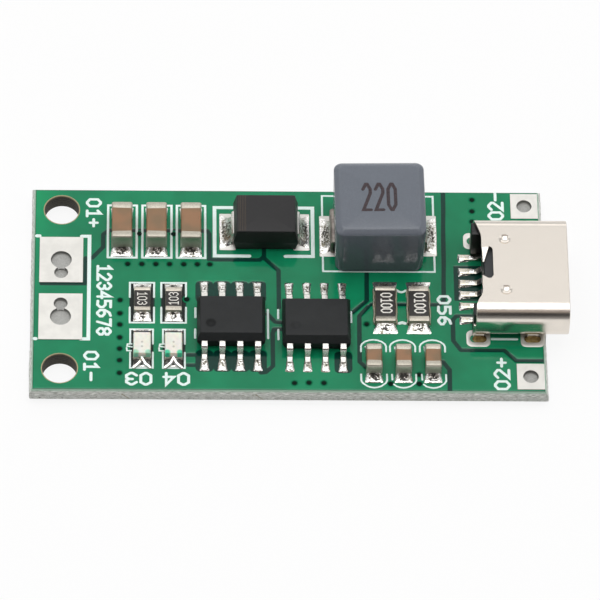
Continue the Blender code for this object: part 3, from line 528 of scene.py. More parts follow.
def bright_solder(paint):
    """Reflowed solder: bright, with soft swells and a few dull patches of flux.

    Where the mesh holds a tone, patches are painted dull and, where the tone is high, near black: a
    painted dark reflection up the middle of each slope.
    """
    metal = bpy.context.scene.charger_metals
    swell = paint.noise(0.2, 3.0, 0.6)
    flux = paint.noise(0.5, 3.0, 0.6).between(0.56, 0.7)
    blots = paint.noise(0.15, 2.0, 0.55).between(0.4, 0.6)
    # Real flux patches, joined by painted shade where the mesh holds a tone.
    flux_and_painted_shade = flux.maths("MAXIMUM", paint.tone() * (blots + 0.1)).between(0.0, 1.0)
    # Painted reflection: near black up the middle of each solder slope, broken by blots.
    painted_dark_middle = (paint.tone() * (blots * 0.9 + 0.35)).between(0.85, 1.5)
    solder_under_flux_and_shade = flux_and_painted_shade.mix(metal.solder_colour, screen(140, 134, 116))
    return {"Base Color": painted_dark_middle.mix(solder_under_flux_and_shade, screen(54, 52, 48)),
            "Metallic": 1.0 - flux_and_painted_shade * 0.3 - painted_dark_middle * 0.4,
            "Roughness": 0.13 + flux_and_painted_shade * 0.2 + swell * 0.06, "Height": (swell, 0.8, 0.05)}


def lead_tin(paint):
    """Matt tin plating on formed leads, with a fine grain."""
    metal = bpy.context.scene.charger_metals
    fine = paint.noise(0.08, 3.0)
    return {"Base Color": fine.between(0.3, 0.7).mix(darker(metal.tin_colour, 0.88), metal.tin_colour),
            "Metallic": 1.0, "Roughness": 0.2 + fine * 0.14, "Height": (fine, 0.3, 0.008)}


def dull_terminal(paint):
    """Tin on the inductor's terminals, darker, browner and duller than the lands, in cloudy patches."""
    stain = paint.noise(0.5, 3.0, 0.6).between(0.35, 0.65)
    fine = paint.noise(0.08, 3.0)
    return {"Base Color": stain.mix(screen(122, 112, 108), screen(160, 152, 144)), "Metallic": 0.6,
            "Roughness": 0.3 + fine * 0.14, "Height": (fine, 0.3, 0.008)}


def nickel_plate(paint):
    """Bright nickel over folded steel: warm, with faint handling marks and rolling lines."""
    nickel = bpy.context.scene.charger_metals.nickel_colour
    rolling = paint.noise(0.05, 2.0, 0.5, (40, 1, 1))
    cloud = paint.noise(1.6, 3.0).between(0.3, 0.75)
    return {"Base Color": cloud.mix(darker(nickel, 0.96), darker(nickel, 0.91)),
            "Metallic": 1.0, "Roughness": 0.19 + cloud * 0.04 + rolling * 0.05,
            "Height": (rolling + cloud * 2, 0.06, 0.003)}


def gilt_contact(paint):
    """Thin gold over nickel on the contacts, paler where it rubs, and painted dark grey as shade where
    the mesh holds a tone.
    """
    fine = paint.noise(0.1, 3.0)
    bright = fine.between(0.35, 0.7).mix(screen(222, 212, 190), screen(236, 234, 230))
    return {"Base Color": paint.tone().mix(bright, screen(112, 112, 110)),
            "Metallic": 1.0, "Roughness": 0.18 + fine * 0.12, "Height": (fine, 0.3, 0.006)}


def black_nylon(paint):
    """Moulded black polymer with a fine spark-eroded grain, painted near black as shade where the mesh
    holds a tone.
    """
    grain = paint.noise(0.04, 3.0)
    moulded = grain.between(0.3, 0.7).mix(screen(24, 26, 29), screen(38, 40, 44))
    return {"Base Color": paint.tone().mix(moulded, screen(9, 9, 10)), "Roughness": 0.3 + grain * 0.16,
            "Height": (grain, 0.3, 0.004)}


def black_epoxy(paint):
    """Matt moulding compound: fine grey filler in black, with a soft grain."""
    epoxy = bpy.context.scene.charger_bodies.epoxy_colour
    grain = paint.noise(0.035, 4.0, 0.6)
    cloud = paint.noise(1.1, 2.0).between(0.3, 0.7)
    speckled = grain.between(0.5, 0.78).mix(cloud.mix(darker(epoxy, 0.9), darker(epoxy, 1.1)),
                                            darker(epoxy, 1.7))
    return {"Base Color": paint.tone().mix(speckled, darker(epoxy, 0.5)),
            "Roughness": 0.4 + grain * 0.2 + paint.tone() * 0.4, "Specular IOR Level": 0.26,
            "Height": (grain, 0.3, 0.006)}


def diode_epoxy(paint):
    """Moulding compound of the diode, with its printed cathode band of brown ribs."""
    epoxy = bpy.context.scene.charger_bodies.diode_colour
    grain = paint.noise(0.04, 4.0, 0.6)
    dark = grain.between(0.45, 0.75).mix(darker(epoxy, 0.92), darker(epoxy, 1.5))
    return {"Base Color": paint.tone().mix(dark, screen(78, 67, 56)), "Roughness": 0.36 + grain * 0.2,
            "Specular IOR Level": 0.32, "Height": (grain, 0.35, 0.008)}


def iron_powder(paint):
    """Pressed iron powder under a grey coat: fine speckle and faint rubs."""
    iron = bpy.context.scene.charger_bodies.iron_colour
    grain = paint.noise(0.05, 4.0, 0.65)
    cloud = paint.noise(1.4, 3.0).between(0.3, 0.7)
    clouded = cloud.mix(darker(iron, 0.95), darker(iron, 1.05))
    return {"Base Color": grain.between(0.42, 0.72).mix(darker(iron, 0.82), clouded),
            "Roughness": 0.14 + grain * 0.08, "Height": (grain + cloud, 0.12, 0.005)}


def stamped_ink(paint):
    """Brown-black marking ink that the grain below breaks up at its edges."""
    grain = paint.noise(0.07, 4.0, 0.7).between(0.42, 0.62)
    return {"Base Color": grain.mix(screen(60, 44, 50), screen(30, 18, 22)), "Roughness": 0.6,
            "Height": (grain, 0.3, 0.006)}


def capacitor_ceramic(paint):
    """Brown ceramic and its tinned ends, told apart by the value on the mesh."""
    ceramic = bpy.context.scene.charger_bodies.ceramic_colour
    fine = paint.noise(0.06, 4.0, 0.6)
    cloud = paint.noise(1.5, 1.0).between(0.35, 0.65)
    plain = fine.between(0.3, 0.7).mix(darker(ceramic, 0.9), darker(ceramic, 1.1))
    tin = fine.between(0.35, 0.65).mix(screen(168, 162, 148), screen(194, 189, 176))
    ends = paint.tone().between(0.4, 0.6)
    return {"Base Color": ends.mix(cloud.mix(plain, screen(148, 109, 76)), tin), "Metallic": ends * 0.75,
            "Roughness": 0.32 + fine * 0.1, "Height": (fine, 0.3, 0.01)}


def resistor_coat(paint):
    """Black glaze on a chip resistor; the value on the mesh is 1 on its tin and 2 on bare alumina."""
    fine = paint.noise(0.06, 4.0, 0.6)
    coat = fine.between(0.3, 0.7).mix(screen(26, 22, 20), screen(42, 36, 33))
    tin = fine.between(0.35, 0.65).mix(screen(178, 170, 156), screen(208, 202, 190))
    alumina = fine.between(0.3, 0.7).mix(screen(150, 134, 110), screen(208, 200, 180))
    ends, bare = paint.tone().between(0.4, 0.6), paint.tone().between(1.3, 1.7)
    return {"Base Color": bare.mix(ends.mix(coat, tin), alumina), "Metallic": ends * (1 - bare) * 0.8,
            "Roughness": 0.3 + fine * 0.14, "Height": (fine, 0.3, 0.008)}


def legend_ink(paint):
    """White screen ink, a little thin where the mesh of the screen left it."""
    ink = bpy.context.scene.charger_legend.ink_colour
    weave = paint.noise(0.06, 3.0, 0.6)
    return {"Base Color": weave.between(0.3, 0.6).mix(darker(ink, 0.86), ink),
            "Roughness": 0.45 + weave * 0.15, "Height": (weave, 0.4, 0.006)}


def chip_ink(paint):
    """Pale marking ink on the chip resistors."""
    weave = paint.noise(0.05, 3.0, 0.6)
    return {"Base Color": weave.between(0.3, 0.6).mix(screen(228, 224, 214), screen(246, 243, 236)),
            "Roughness": 0.5, "Height": (weave, 0.3, 0.004)}


def via_well(paint):
    """A via under the lacquer: green at its rim and painted near black down its hole, as the shade in
    it.
    """
    mask = bpy.context.scene.charger_board.mask_colour
    fine = paint.noise(0.08, 3.0)
    green = fine.between(0.3, 0.7).mix(darker(mask, 0.8), mask)
    depth = (paint.tone() + fine * 0.5 - 0.25).between(0.1, 0.95)
    return {"Base Color": depth.mix(green, screen(3, 30, 21)), "Roughness": 0.3 + fine * 0.1,
            "Specular IOR Level": 0.06}


def lamp_laminate(paint):
    """White laminate of a lamp's base, a little uneven."""
    white = paint.noise(0.07, 3.0).between(0.3, 0.7).mix(screen(214, 208, 192), screen(232, 228, 216))
    return {"Base Color": white, "Roughness": 0.4}


def lamp_cast(centre, tint):
    """Finish of a lamp's milky casting: turquoise by its near corners, two faint dots inside."""
    def finish(paint):
        lens = bpy.context.scene.charger_bodies.lens_colour
        x, y = paint.place("X") - float(centre[0]), paint.place("Y") - float(centre[1])
        milk = paint.noise(0.3, 3.0).between(0.3, 0.7).mix(darker(lens, 0.93), lens)
        side, ahead = x.maths("ABSOLUTE") - LAMP_SPOT[0], y - LAMP_SPOT[1]
        near = 1 - (side * side + ahead * ahead).between(0.015, 0.085)
        dots = [1 - (x * x + (y - dot) * (y - dot)).between(0.001, 0.012) for dot in LAMP_DOTS]
        dotted = (dots[0] + dots[1]).mix(milk, darker(lens, 0.62))
        return {"Base Color": (near * tint).mix(dotted, screen(40, 206, 160)), "Roughness": 0.24,
                "Subsurface Weight": 0.5, "Subsurface Scale": 0.5 * MM}
    return finish


def flux_pool(paint):
    """Golden flux and bare laminate at the bottom of the inlet's slots."""
    cloud = paint.noise(0.25, 3.0).between(0.3, 0.7)
    return {"Base Color": cloud.mix(screen(112, 92, 50), screen(176, 152, 92)), "Roughness": 0.3}


def studio_floor(paint):
    """White floor that keeps the module's shadow."""
    soft = paint.noise(60.0, 2.0)
    return {"Base Color": soft.mix((0.86, 0.86, 0.86), (0.9, 0.9, 0.9)), "Roughness": 0.7}


# Sizes and colours that a user would change


def colour_setting(name, description, *steps):
    """A colour that a user may change, given in steps of 255."""
    return FloatVectorProperty(name=name, description=description, subtype="COLOR", size=3, min=0, max=1,
                               default=screen(*steps))


def length_setting(name, description, default, low, high):
    """A length that a user may change, given in millimetres."""
    return FloatProperty(name=name, description=description, unit="LENGTH", default=default * MM,
                         min=low * MM, max=high * MM)


def angle_setting(name, description, degrees):
    """An angle that a user may change, given in degrees."""
    return FloatProperty(name=name, description=description, subtype="ANGLE",
                         default=math.radians(degrees))


def light_setting(name, description, default):
    """The level of a light that a user may change."""
    return FloatProperty(name=name, description=description, default=default)


class BoardSettings(bpy.types.PropertyGroup):
    """Lacquer of the board, and how finely its top face is drawn"""

    mask_colour: colour_setting("Mask", "Green lacquer over copper", 15, 124, 84)
    groove_colour: colour_setting("Bare laminate", "Lacquer where no copper lies", 8, 57, 47)
    groove_width: length_setting("Groove width", "Gap between two copper areas", 0.33, 0.1, 1)
    grid_step: length_setting("Grid step", "Spacing of the top face's points", 0.085, 0.05, 1)


class LegendSettings(bpy.types.PropertyGroup):
    """The printed legend"""

    ink_colour: colour_setting("Ink", "White screen ink", 236, 252, 248)
    line_width: length_setting("Line width", "Width of the printed outlines", 0.2, 0.05, 1)


class MetalSettings(bpy.types.PropertyGroup):
    """Tin, solder and nickel"""

    tin_colour: colour_setting("Tin", "Tinned lands and leads", 238, 236, 230)
    solder_colour: colour_setting("Solder", "Reflowed solder", 240, 239, 236)
    nickel_colour: colour_setting("Nickel", "Plating of the inlet's shell", 234, 226, 216)


class BodySettings(bpy.types.PropertyGroup):
    """Bodies of the parts"""

    epoxy_colour: colour_setting("Package", "Moulding of the packages", 31, 33, 34)
    diode_colour: colour_setting("Diode", "Moulding of the diode", 35, 34, 35)
    iron_colour: colour_setting("Inductor", "Coat of the inductor", 110, 116, 126)
    ceramic_colour: colour_setting("Ceramic", "Capacitor ceramic", 128, 103, 74)
    lens_colour: colour_setting("Lamp", "Milky casting of the lamps", 244, 240, 230)


class StudioSettings(bpy.types.PropertyGroup):
    """Camera and lights"""

    elevation: angle_setting("Elevation", "Camera above the horizon", 54.265)
    azimuth: angle_setting("Azimuth", "Camera round the module", -2.76)
    roll: angle_setting("Roll", "Camera turned about its view", 2.581)
    distance: length_setting("Distance", "Camera to the board", 423.5, 10, 5000)
    overhead: light_setting("Overhead level", "Light of the overhead panel", 2.46)
    backdrop: light_setting("Back level", "Light of the rear panel", 0.85)
    sides: light_setting("Side level", "Light of the side panels", 1.1)
    front: light_setting("Front level", "Light of the high front panel", 0.4)
    corners: light_setting("Corner level", "Light of the two front corner panels", 0.6)
    horizon: light_setting("Horizon level", "Extra light near the horizon", 0.6)
    fill: light_setting("Fill level", "Light from the room", 0.035)


# Studio

PHOTO_SIDE = 600.0                  # the picture's side in pixels
FOCAL_PIXELS = 5896.9
AXIS_PIXEL = (303.41, 299.68)       # where the camera's axis meets the picture
TARGET = (1.104, -0.870, 0.0)       # the point of the board on that axis
SENSOR = 36.0                       # width of the camera's sensor in millimetres
FLOOR_RADIUS = 1500.0
FLOOR_GLOW = 0.88                   # how much of what the camera sees of the floor is its own light


def build_camera(studio):
    """Pinhole camera: it looks from its elevation and azimuth, and its roll turns the picture."""
    tilt, spin = studio.elevation, studio.azimuth
    back = Vector((math.sin(spin) * math.cos(tilt), -math.cos(spin) * math.cos(tilt), math.sin(tilt)))
    right = (-back).cross(Vector((0, 0, 1))).normalized()
    up = right.cross(-back)
    across = right * math.cos(studio.roll) + up * math.sin(studio.roll)
    upward = up * math.cos(studio.roll) - right * math.sin(studio.roll)
    camera = bpy.data.objects.new("camera", bpy.data.cameras.new("camera"))
    turn = Matrix((across, upward, back)).transposed().to_4x4()
    target = Vector(np.array(TARGET) * MM + ORIGIN)
    camera.matrix_world = Matrix.Translation(target + back * studio.distance) @ turn
    camera.data.sensor_width = SENSOR
    camera.data.lens = FOCAL_PIXELS / PHOTO_SIDE * SENSOR
    camera.data.shift_x = (PHOTO_SIDE / 2 - AXIS_PIXEL[0]) / PHOTO_SIDE
    camera.data.shift_y = (AXIS_PIXEL[1] - PHOTO_SIDE / 2) / PHOTO_SIDE
    camera.data.clip_start, camera.data.clip_end = 0.01, 10.0
    bpy.context.scene.collection.objects.link(camera)
    bpy.context.scene.camera = camera


def build_panel(name, size, azimuth, elevation, distance, level, tint=(1.0, 1.0, 1.0)):
    """A soft light panel that faces the module; its level is the brightness of its face."""
    data = bpy.data.lights.new(name, "AREA")
    data.shape = "RECTANGLE"
    data.size, data.size_y = size
    data.energy = level * math.pi * size[0] * size[1]
    data.color = tint
    panel = bpy.data.objects.new(name, data)
    turn, rise = math.radians(azimuth), math.radians(elevation)
    away = Vector((math.sin(turn) * math.cos(rise), -math.cos(turn) * math.cos(rise), math.sin(rise)))
    panel.location = away * distance
    panel.rotation_mode = "QUATERNION"
    panel.rotation_quaternion = away.to_track_quat("Z", "Y")
    panel.visible_camera = False
    bpy.context.scene.collection.objects.link(panel)


def build_world(level, glow):
    """A dim room that is lighter toward its horizon, most of all behind, and white for the camera."""
    world = bpy.data.worlds.new("room")
    world.use_nodes = True
    bpy.context.scene.world = world
    room = world.node_tree.nodes["Background"]
    room.inputs["Color"].default_value = (1, 1, 1, 1)
    paint = Paint(world.node_tree)
    way = paint.node("TexCoord", {}, {}, "Generated")
    behind = way.part("Y").between(-0.1, 0.6)
    low_down = 1 - (way.part("Z") - behind * 0.25).between(0.22, 0.44)
    strength = low_down * (behind * 0.65 + 0.35) * glow + level
    shown = strength.maths("MAXIMUM", paint.node("LightPath", {}, {}, "Is Camera Ray"))
    world.node_tree.links.new(shown.socket, room.inputs["Strength"])


def build_floor():
    """A wide round floor; what the camera and mirrors see of it is partly its own white light."""
    ring = np.linspace(0.0, FLOOR_RADIUS, 16)
    angle = np.linspace(0, 2 * math.pi, 96, endpoint=False)
    x, y = ring[:, None] * np.cos(angle), ring[:, None] * np.sin(angle)
    grid = np.stack([x, y, np.full_like(x, -ORIGIN[2] / MM - 0.01)], -1)
    mesh = Shape().add(grid, around=True).mesh("floor", solid=False)
    floor = bpy.data.objects.new("floor", mesh)
    bpy.context.scene.collection.objects.link(floor)
    material = make_material("studio_floor", studio_floor)
    tree = material.node_tree
    paint = Paint(tree)
    seen = paint.node("LightPath", {}, {}, "Is Camera Ray")
    glossy = paint.node("LightPath", {}, {}, "Is Glossy Ray")
    glow = paint.node("Emission", {}, {"Color": (1, 1, 1, 1), "Strength": 1.0}, "Emission")
    surface = Paint(tree, tree.nodes["Principled BSDF"].outputs[0])
    share = seen.maths("MAXIMUM", glossy) * FLOOR_GLOW
    blend = paint.node("MixShader", {}, {0: share, 1: surface, 2: glow})
    tree.links.new(blend.socket, tree.nodes["Material Output"].inputs["Surface"])
    mesh.materials.append(material)


class CHARGER_OT_studio(bpy.types.Operator):
    """Floor, soft panels, room and camera"""

    bl_idname = "charger.studio"
    bl_label = "Studio"

    def execute(self, context):
        studio = context.scene.charger_studio
        context.scene.view_settings.view_transform = "Standard"
        build_camera(studio)
        build_world(studio.fill, studio.horizon)
        build_floor()
        build_panel("overhead", (0.62, 0.5), 180, 86, 0.6, studio.overhead)
        build_panel("rear", (1.25, 0.66), 180, 42, 0.8, studio.backdrop)
        build_panel("front", (0.8, 0.26), 0, 58, 0.75, studio.front, (1.0, 0.87, 0.78))
        build_panel("front_left", (0.3, 0.24), -58, 30, 0.8, studio.corners)
        build_panel("front_right", (0.3, 0.24), 58, 30, 0.8, studio.corners)
        build_panel("left", (0.5, 0.4), -90, 38, 0.7, studio.sides)
        build_panel("right", (0.5, 0.4), 90, 38, 0.7, studio.sides)
        return {"FINISHED"}


# Board

GROOVES = (                         # corners of the gaps between copper areas
    ((11.38, 9.0), (11.2, -0.85), (10.9, -1.25), (6.0, -1.25)),
    ((5.7, 1.5), (5.65, -0.95), (4.65, -1.95)),
    ((5.75, -1.45), (5.1, -2.3), (5.05, -6.3), (5.6, -6.9)),
    ((-1.7, 4.2), (-1.7, 2.95), (-2.0, 2.62), (-5.65, 2.62)),
    ((-1.7, 2.8), (-0.67, 1.7), (-0.67, -1.6)),
    ((-1.5, -2.15), (-0.95, -2.85), (-0.2, -2.95)),
    ((-0.2, -3.5), (-1.03, -3.5), (-1.12, -3.85), (-1.12, -6.7), (-1.65, -7.27), (-2.0, -7.3)),
    ((-7.2, -5.79), (-6.2, -5.79)),
    ((-7.2, -6.68), (-6.2, -6.68)),
    ((-14.57, 2.7), (-14.57, 0.44), (-17.7, 0.42)),
    ((-14.1, 2.7), (-13.3, 3.7), (-13.3, 4.85), (-12.9, 5.2), (-5.8, 5.2), (-5.63, 4.9), (-5.63, 2.62)),
    ((13.4, -2.25), (12.05, -2.25), (11.8, -2.6), (11.78, -4.4), (12.3, -5.24), (15.4, -5.24),
     (16.25, -6.15), (18.5, -6.15)),
    ((11.42, -9.0), (11.45, -6.95), (11.0, -6.27), (10.3, -6.2)),
)
BARE_AREAS = (                      # (middle x, middle y, half x, half y) where the copper is left out
    (12.95, 0.65, 1.0, 1.55), (6.96, -1.57, 0.75, 1.1), (9.36, -1.55, 0.75, 1.1),
)
SHADED_AREAS = (                    # the same inside the printed frames, where little light gets
    (-10.49, -1.23, 0.87, 1.76), (-8.22, -1.23, 0.88, 1.76),
    (-10.5, -5.27, 0.81, 1.7), (-8.19, -5.27, 0.78, 1.7),
)
VIAS = (
    (-11.53, 2.2), (-10.51, 2.2), (-9.5, 2.2), (-8.51, 2.2), (-7.49, 2.2), (-6.51, 2.2), (-5.61, 2.2),
    (-10.7, 4.9), (-8.25, 4.89), (-7.28, -0.91), (5.61, -3.01), (7.23, -8.21), (9.27, -8.2),
    (9.28, -7.41), (-12.06, -1.02), (-12.06, -2.18), (-12.06, -3.17), (-12.06, -4.3), (-12.06, -5.28),
    (-12.06, -6.29), (-12.06, -7.39), (0.39, -8.19), (1.42, -8.15), (2.48, -8.17), (13.47, 8.13),
    (13.44, 7.1), (13.43, 6.16),
)
VIA_RADIUS = 0.2
# Vias covered by a flat disc painted near black: painted shade for their open holes.
BLACK_DISC_VIAS = ((-10.7, 4.9), (-8.25, 4.89), (-7.28, -0.91), (7.23, -8.21), (9.27, -8.2))
MOUNT_HOLES = ((-16.325, 7.01), (-16.325, -7.01))
MOUNT_RADIUS = 1.28
RIM_BARE = 0.03                     # lacquer held back from a drilled rim
STAKE_HALF = (0.6, 0.33)            # half length and width of the slots for the inlet's stakes
STAKE_LAND = (0.86, 0.72)           # the same of their tinned lands
LAND_COVER = 0.15                   # how far the lacquer reaches in under a slot's land
STAKE_SETBACKS = (0.26, 4.15)       # from the shell's rear to the middles of its stakes
STAKE_INSET = 0.17                  # from the shell's side to the middle of a slot
LEAD_LAND_HALF = (0.3, 0.6)         # half size of the bare area round one of a package's lands
LEAD_LAND_OUT = 0.72                # and how far its middle lies outward of the lead's own
PAD_CLEARING = 0.34                 # how much wider than that the copper is left out
PAD_COVER = 0.12                    # how far the lacquer reaches over a wire pad's edge
UNDER_STEP = 0.3                    # spacing of the plain under face's points
BLUR = 0.05                         # width over which the copper's edge shows through the lacquer
EDGE_MAP = "edge"                   # map of the board's rim: distance along its side and height
ENDS_APART = 40                     # keeps the two ends of the board clear of its sides in that map
RIM_STEP = 0.09                     # spacing of the sections round the rim
RIM_WAVES = 12                      # how many sines roughen it
WIRE_PADS = ("battery_pad_positive", "battery_pad_negative", "input_pad_positive", "input_pad_negative")


def distance_to_route(x, y, route):
    """Distance from each point to the nearest of a route's straight runs."""
    route = np.asarray(route, float)
    start, run = route[:-1], np.diff(route, axis=0)
    offset_x, offset_y = x[..., None] - start[:, 0], y[..., None] - start[:, 1]
    share = np.clip((offset_x * run[:, 0] + offset_y * run[:, 1]) / (run ** 2).sum(1), 0, 1)
    return np.hypot(offset_x - share * run[:, 0], offset_y - share * run[:, 1]).min(-1)


def distance_to_box(x, y, middle_x, middle_y, half_x, half_y):
    """Distance from each point to a rectangle, negative inside it."""
    out_x, out_y = np.abs(x - middle_x) - half_x, np.abs(y - middle_y) - half_y
    return np.hypot(np.maximum(out_x, 0), np.maximum(out_y, 0)) + np.minimum(np.maximum(out_x, out_y), 0)


def package_lands():
    """Middles of the lands of the two packages' leads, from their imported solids."""
    return {name: [node_middle("%s_lead_%d" % (name, index)) for index in range(1, 9)]
            for name in PACKAGES}


def stake_middles():
    """Middles of the four slots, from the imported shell."""
    low, high = node_box("usb_shell")
    return [(low[0] + setback, y) for setback in STAKE_SETBACKS
            for y in (low[1] + STAKE_INSET, high[1] - STAKE_INSET)]


def bare_laminate(x, y, groove_width):
    """1 where no copper lies under the lacquer: near a groove's route, in an area or round a land.

    It is 2 in the shaded areas.
    """
    lands = package_lands()
    body_y = node_middle("charger_ic_body")[1]
    gaps = [(1, distance_to_route(x, y, route) - groove_width / 2) for route in GROOVES]
    gaps += [(1, distance_to_box(x, y, *area)) for area in BARE_AREAS]
    gaps += [(2, distance_to_box(x, y, *area)) for area in SHADED_AREAS]
    for land in lands["charger_ic"] + lands["switch_ic"][3:4]:
        land_y = land[1] + math.copysign(LEAD_LAND_OUT, land[1] - body_y)
        gaps.append((1, distance_to_box(x, y, land[0], land_y, *LEAD_LAND_HALF) - PAD_CLEARING))
    bare = np.zeros_like(x)
    for value, distance in gaps:
        bare = np.maximum(bare, value - value * smooth_step(distance, -BLUR, BLUR))
    return bare


def skin_grid(step, groove_width=None):
    """A face of the board as a height over x and y: copper stands up, and bare laminate lies low.

    With no groove width it is plain, all over copper and without vias.
    """
    x = np.linspace(-HALF_LENGTH, HALF_LENGTH, int(2 * HALF_LENGTH / step) + 1)
    y = np.linspace(-HALF_WIDTH, HALF_WIDTH, int(2 * HALF_WIDTH / step) + 1)
    x, y = np.meshgrid(x, y, indexing="ij")
    keep = np.ones(x.shape, bool)
    radius = MOUNT_RADIUS + RIM_BARE
    for hole_x, hole_y in MOUNT_HOLES:
        away = np.hypot(x - hole_x, y - hole_y)
        snapped = (away < radius + step / 2) & (away > radius - step)
        scale = np.where(snapped, radius / np.maximum(away, 1e-6), 1)
        x, y = hole_x + (x - hole_x) * scale, hole_y + (y - hole_y) * scale
        keep &= away > radius - step
    for name in WIRE_PADS:
        low, high = node_box(name)
        middle, half = (low + high) / 2, (high - low) / 2 - PAD_COVER
        keep &= distance_to_box(x, y, middle[0], middle[1], half[0], half[1]) > 0
    for middle_x, middle_y in stake_middles():
        half_x, half_y = (half - LAND_COVER for half in STAKE_LAND)
        keep &= distance_to_box(x, y, middle_x, middle_y, half_x, half_y) > 0
    bare = np.zeros_like(x)
    if groove_width is not None:
        bare = bare_laminate(x, y, groove_width)
        for via_x, via_y in VIAS:
            keep &= np.hypot(x - via_x, y - via_y) > VIA_RADIUS
    edge = smooth_step(np.minimum(HALF_LENGTH - np.abs(x), HALF_WIDTH - np.abs(y)), 0.0, 0.12)
    bare = np.maximum(bare, 0.75 * (1 - edge))
    z = LAMINATE_TOP + (POUR_TOP - LAMINATE_TOP) * (1 - np.minimum(bare, 1))
    faces = keep[:-1, :-1] & keep[1:, :-1] & keep[:-1, 1:] & keep[1:, 1:]
    return np.stack([x, y, z], -1), bare, faces


def build_skins(board):
    """Green top and bottom faces."""
    material = make_material("green_mask", green_mask)
    grid, bare, faces = skin_grid(board.grid_step / MM, board.groove_width / MM)
    above = Shape().add(grid, value=bare, keep=faces)
    above.put("mask_top", material, "solder_mask", solid=False, sharp=180)
    grid, bare, faces = skin_grid(UNDER_STEP)
    grid = grid[::-1] * (1, 1, -1) - (0, 0, BOARD_DEPTH)
    under = Shape().add(grid, value=bare[::-1], keep=faces[::-1])
    under.put("mask_under", material, "solder_mask", solid=False, sharp=180)


def build_rim():
    """Snapped edge: a scored section carried round the board, its web roughened by summed sines.

    The section runs down a slanted cut, over a ragged web and back along the lower cut. Each
    point of the web moves out and in by sines of its distance round the board.
    """
    section = np.array([(0.0, 0.006), (0.03, -0.01), (0.13, -0.16), (0.22, -0.3), (0.24, -0.34)]
                       + [(0.25, z) for z in np.linspace(-0.4, -0.8, 9)]
                       + [(0.24, -0.84), (0.22, -0.88), (0.13, -1.04), (0.03, -BOARD_DEPTH + 0.01),
                          (0.0, -BOARD_DEPTH - 0.006)])
    corners = np.array([(1, -1), (1, 1), (-1, 1), (-1, -1), (1, -1)]) * (HALF_LENGTH, HALF_WIDTH)
    run = np.concatenate([[0], np.cumsum(np.linalg.norm(np.diff(corners, axis=0), axis=1))])
    stations = np.sort(np.concatenate([np.arange(0, run[-1], RIM_STEP), run[1:-1]]))
    middle = np.stack([np.interp(stations, run, corners[:, axis]) for axis in (0, 1)], 1)
    outward = -path_normals(middle, closed=True)
    waves = np.random.default_rng(7).uniform(0, 2 * math.pi, (RIM_WAVES, 2))
    rates = np.geomspace(0.6, 26, RIM_WAVES)
    height = section[None, :, 1]
    rough = sum(np.sin(stations[:, None] * rate + wave[0] + height * rate * 0.9 + wave[1])
                for rate, wave in zip(rates, waves)) / RIM_WAVES
    torn = smooth_step(section[:, 0], 0.1, 0.2)[None, :]
    reach = section[None, :, 0] + 0.07 * rough * torn
    grid = np.concatenate([middle[:, None] + outward[:, None] * reach[..., None],
                           np.broadcast_to(height[..., None], reach.shape + (1,))], -1)
    depth = np.broadcast_to(-height / BOARD_DEPTH, reach.shape)
    shape = Shape().add(grid.transpose(1, 0, 2), around=True, value=depth.T)
    mesh = shape.mesh("board_rim", solid=False, sharp=60)
    where = np.empty(len(mesh.vertices) * 3, np.float32)
    mesh.vertices.foreach_get("co", where)
    where = (where.reshape(-1, 3) - ORIGIN) / MM
    index = np.empty(len(mesh.loops), np.int32)
    mesh.loops.foreach_get("vertex_index", index)
    on_end = np.abs(where[:, 0]) - HALF_LENGTH > np.abs(where[:, 1]) - HALF_WIDTH
    along = np.where(on_end, where[:, 1] + ENDS_APART, where[:, 0])
    uv = np.stack([along, where[:, 2]], 1)[index]
    mesh.uv_layers.new(name=EDGE_MAP).data.foreach_set("uv", uv.astype(np.float32).ravel())
    put("board_rim", mesh, make_material("fibre_edge", fibre_edge))


def build_hole_walls():
    """Drilled walls of the mounting holes: a bare rim, then fibre that the drill left ridged."""
    shape = Shape()
    depth = np.linspace(0, -BOARD_DEPTH, 25)
    ridges = 0.012 * np.sin(depth * 31)
    profile = [(MOUNT_RADIUS + RIM_BARE + 0.01, 0.03), (MOUNT_RADIUS, 0.032),
               (MOUNT_RADIUS - 0.03, 0.01), *zip(MOUNT_RADIUS - 0.035 - ridges, depth)]
    bright = np.concatenate([[1, 1, 1], np.clip(1 - depth / -0.12, 0, 1)])
    for hole in MOUNT_HOLES:
        shape.add(turned_profile(profile, hole, 64), around=True, value=bright[:, None])
    shape.put("mount_hole_walls", make_material("hole_wall", hole_wall), "solder_mask", solid=False,
              sharp=60)


def build_vias():
    """Vias under lacquer: a low ring that dips into a well painted dark as shade, and over a few of them
    a flat disc painted near black, as the shade in their open holes.
    """
    shape = Shape()
    profile = [(0.32, POUR_TOP - 0.004), (0.26, POUR_TOP + 0.004), (0.21, POUR_TOP + 0.003),
               (0.16, POUR_TOP - 0.004), (0.1, 0.004), (0.0, 0.0)]
    dark = np.array([0, 0.12, 0.42, 0.8, 0.95, 1.0])
    black_disc = [(0.19, POUR_TOP), (0.17, 0.044), (0.1, 0.045), (0.0, 0.045)]
    for centre in VIAS:
        shape.add(turned_profile(profile, centre, 20), around=True, value=dark[:, None])
    for centre in BLACK_DISC_VIAS:
        shape.add(turned_profile(black_disc, centre, 20), around=True, value=1.0)
    shape.put("via_wells", make_material("via_well", via_well), "solder_mask", solid=False, sharp=180)


class CHARGER_OT_board(bpy.types.Operator):
    """Green faces with their copper relief, snapped edges, drilled walls and vias"""

    bl_idname = "charger.board"
    bl_label = "Board"

    def execute(self, context):
        build_skins(context.scene.charger_board)
        build_rim()
        build_hole_walls()
        build_vias()
        paint_nodes(["board"], make_material("board_laminate", board_laminate))
        return {"FINISHED"}


# Printed legend

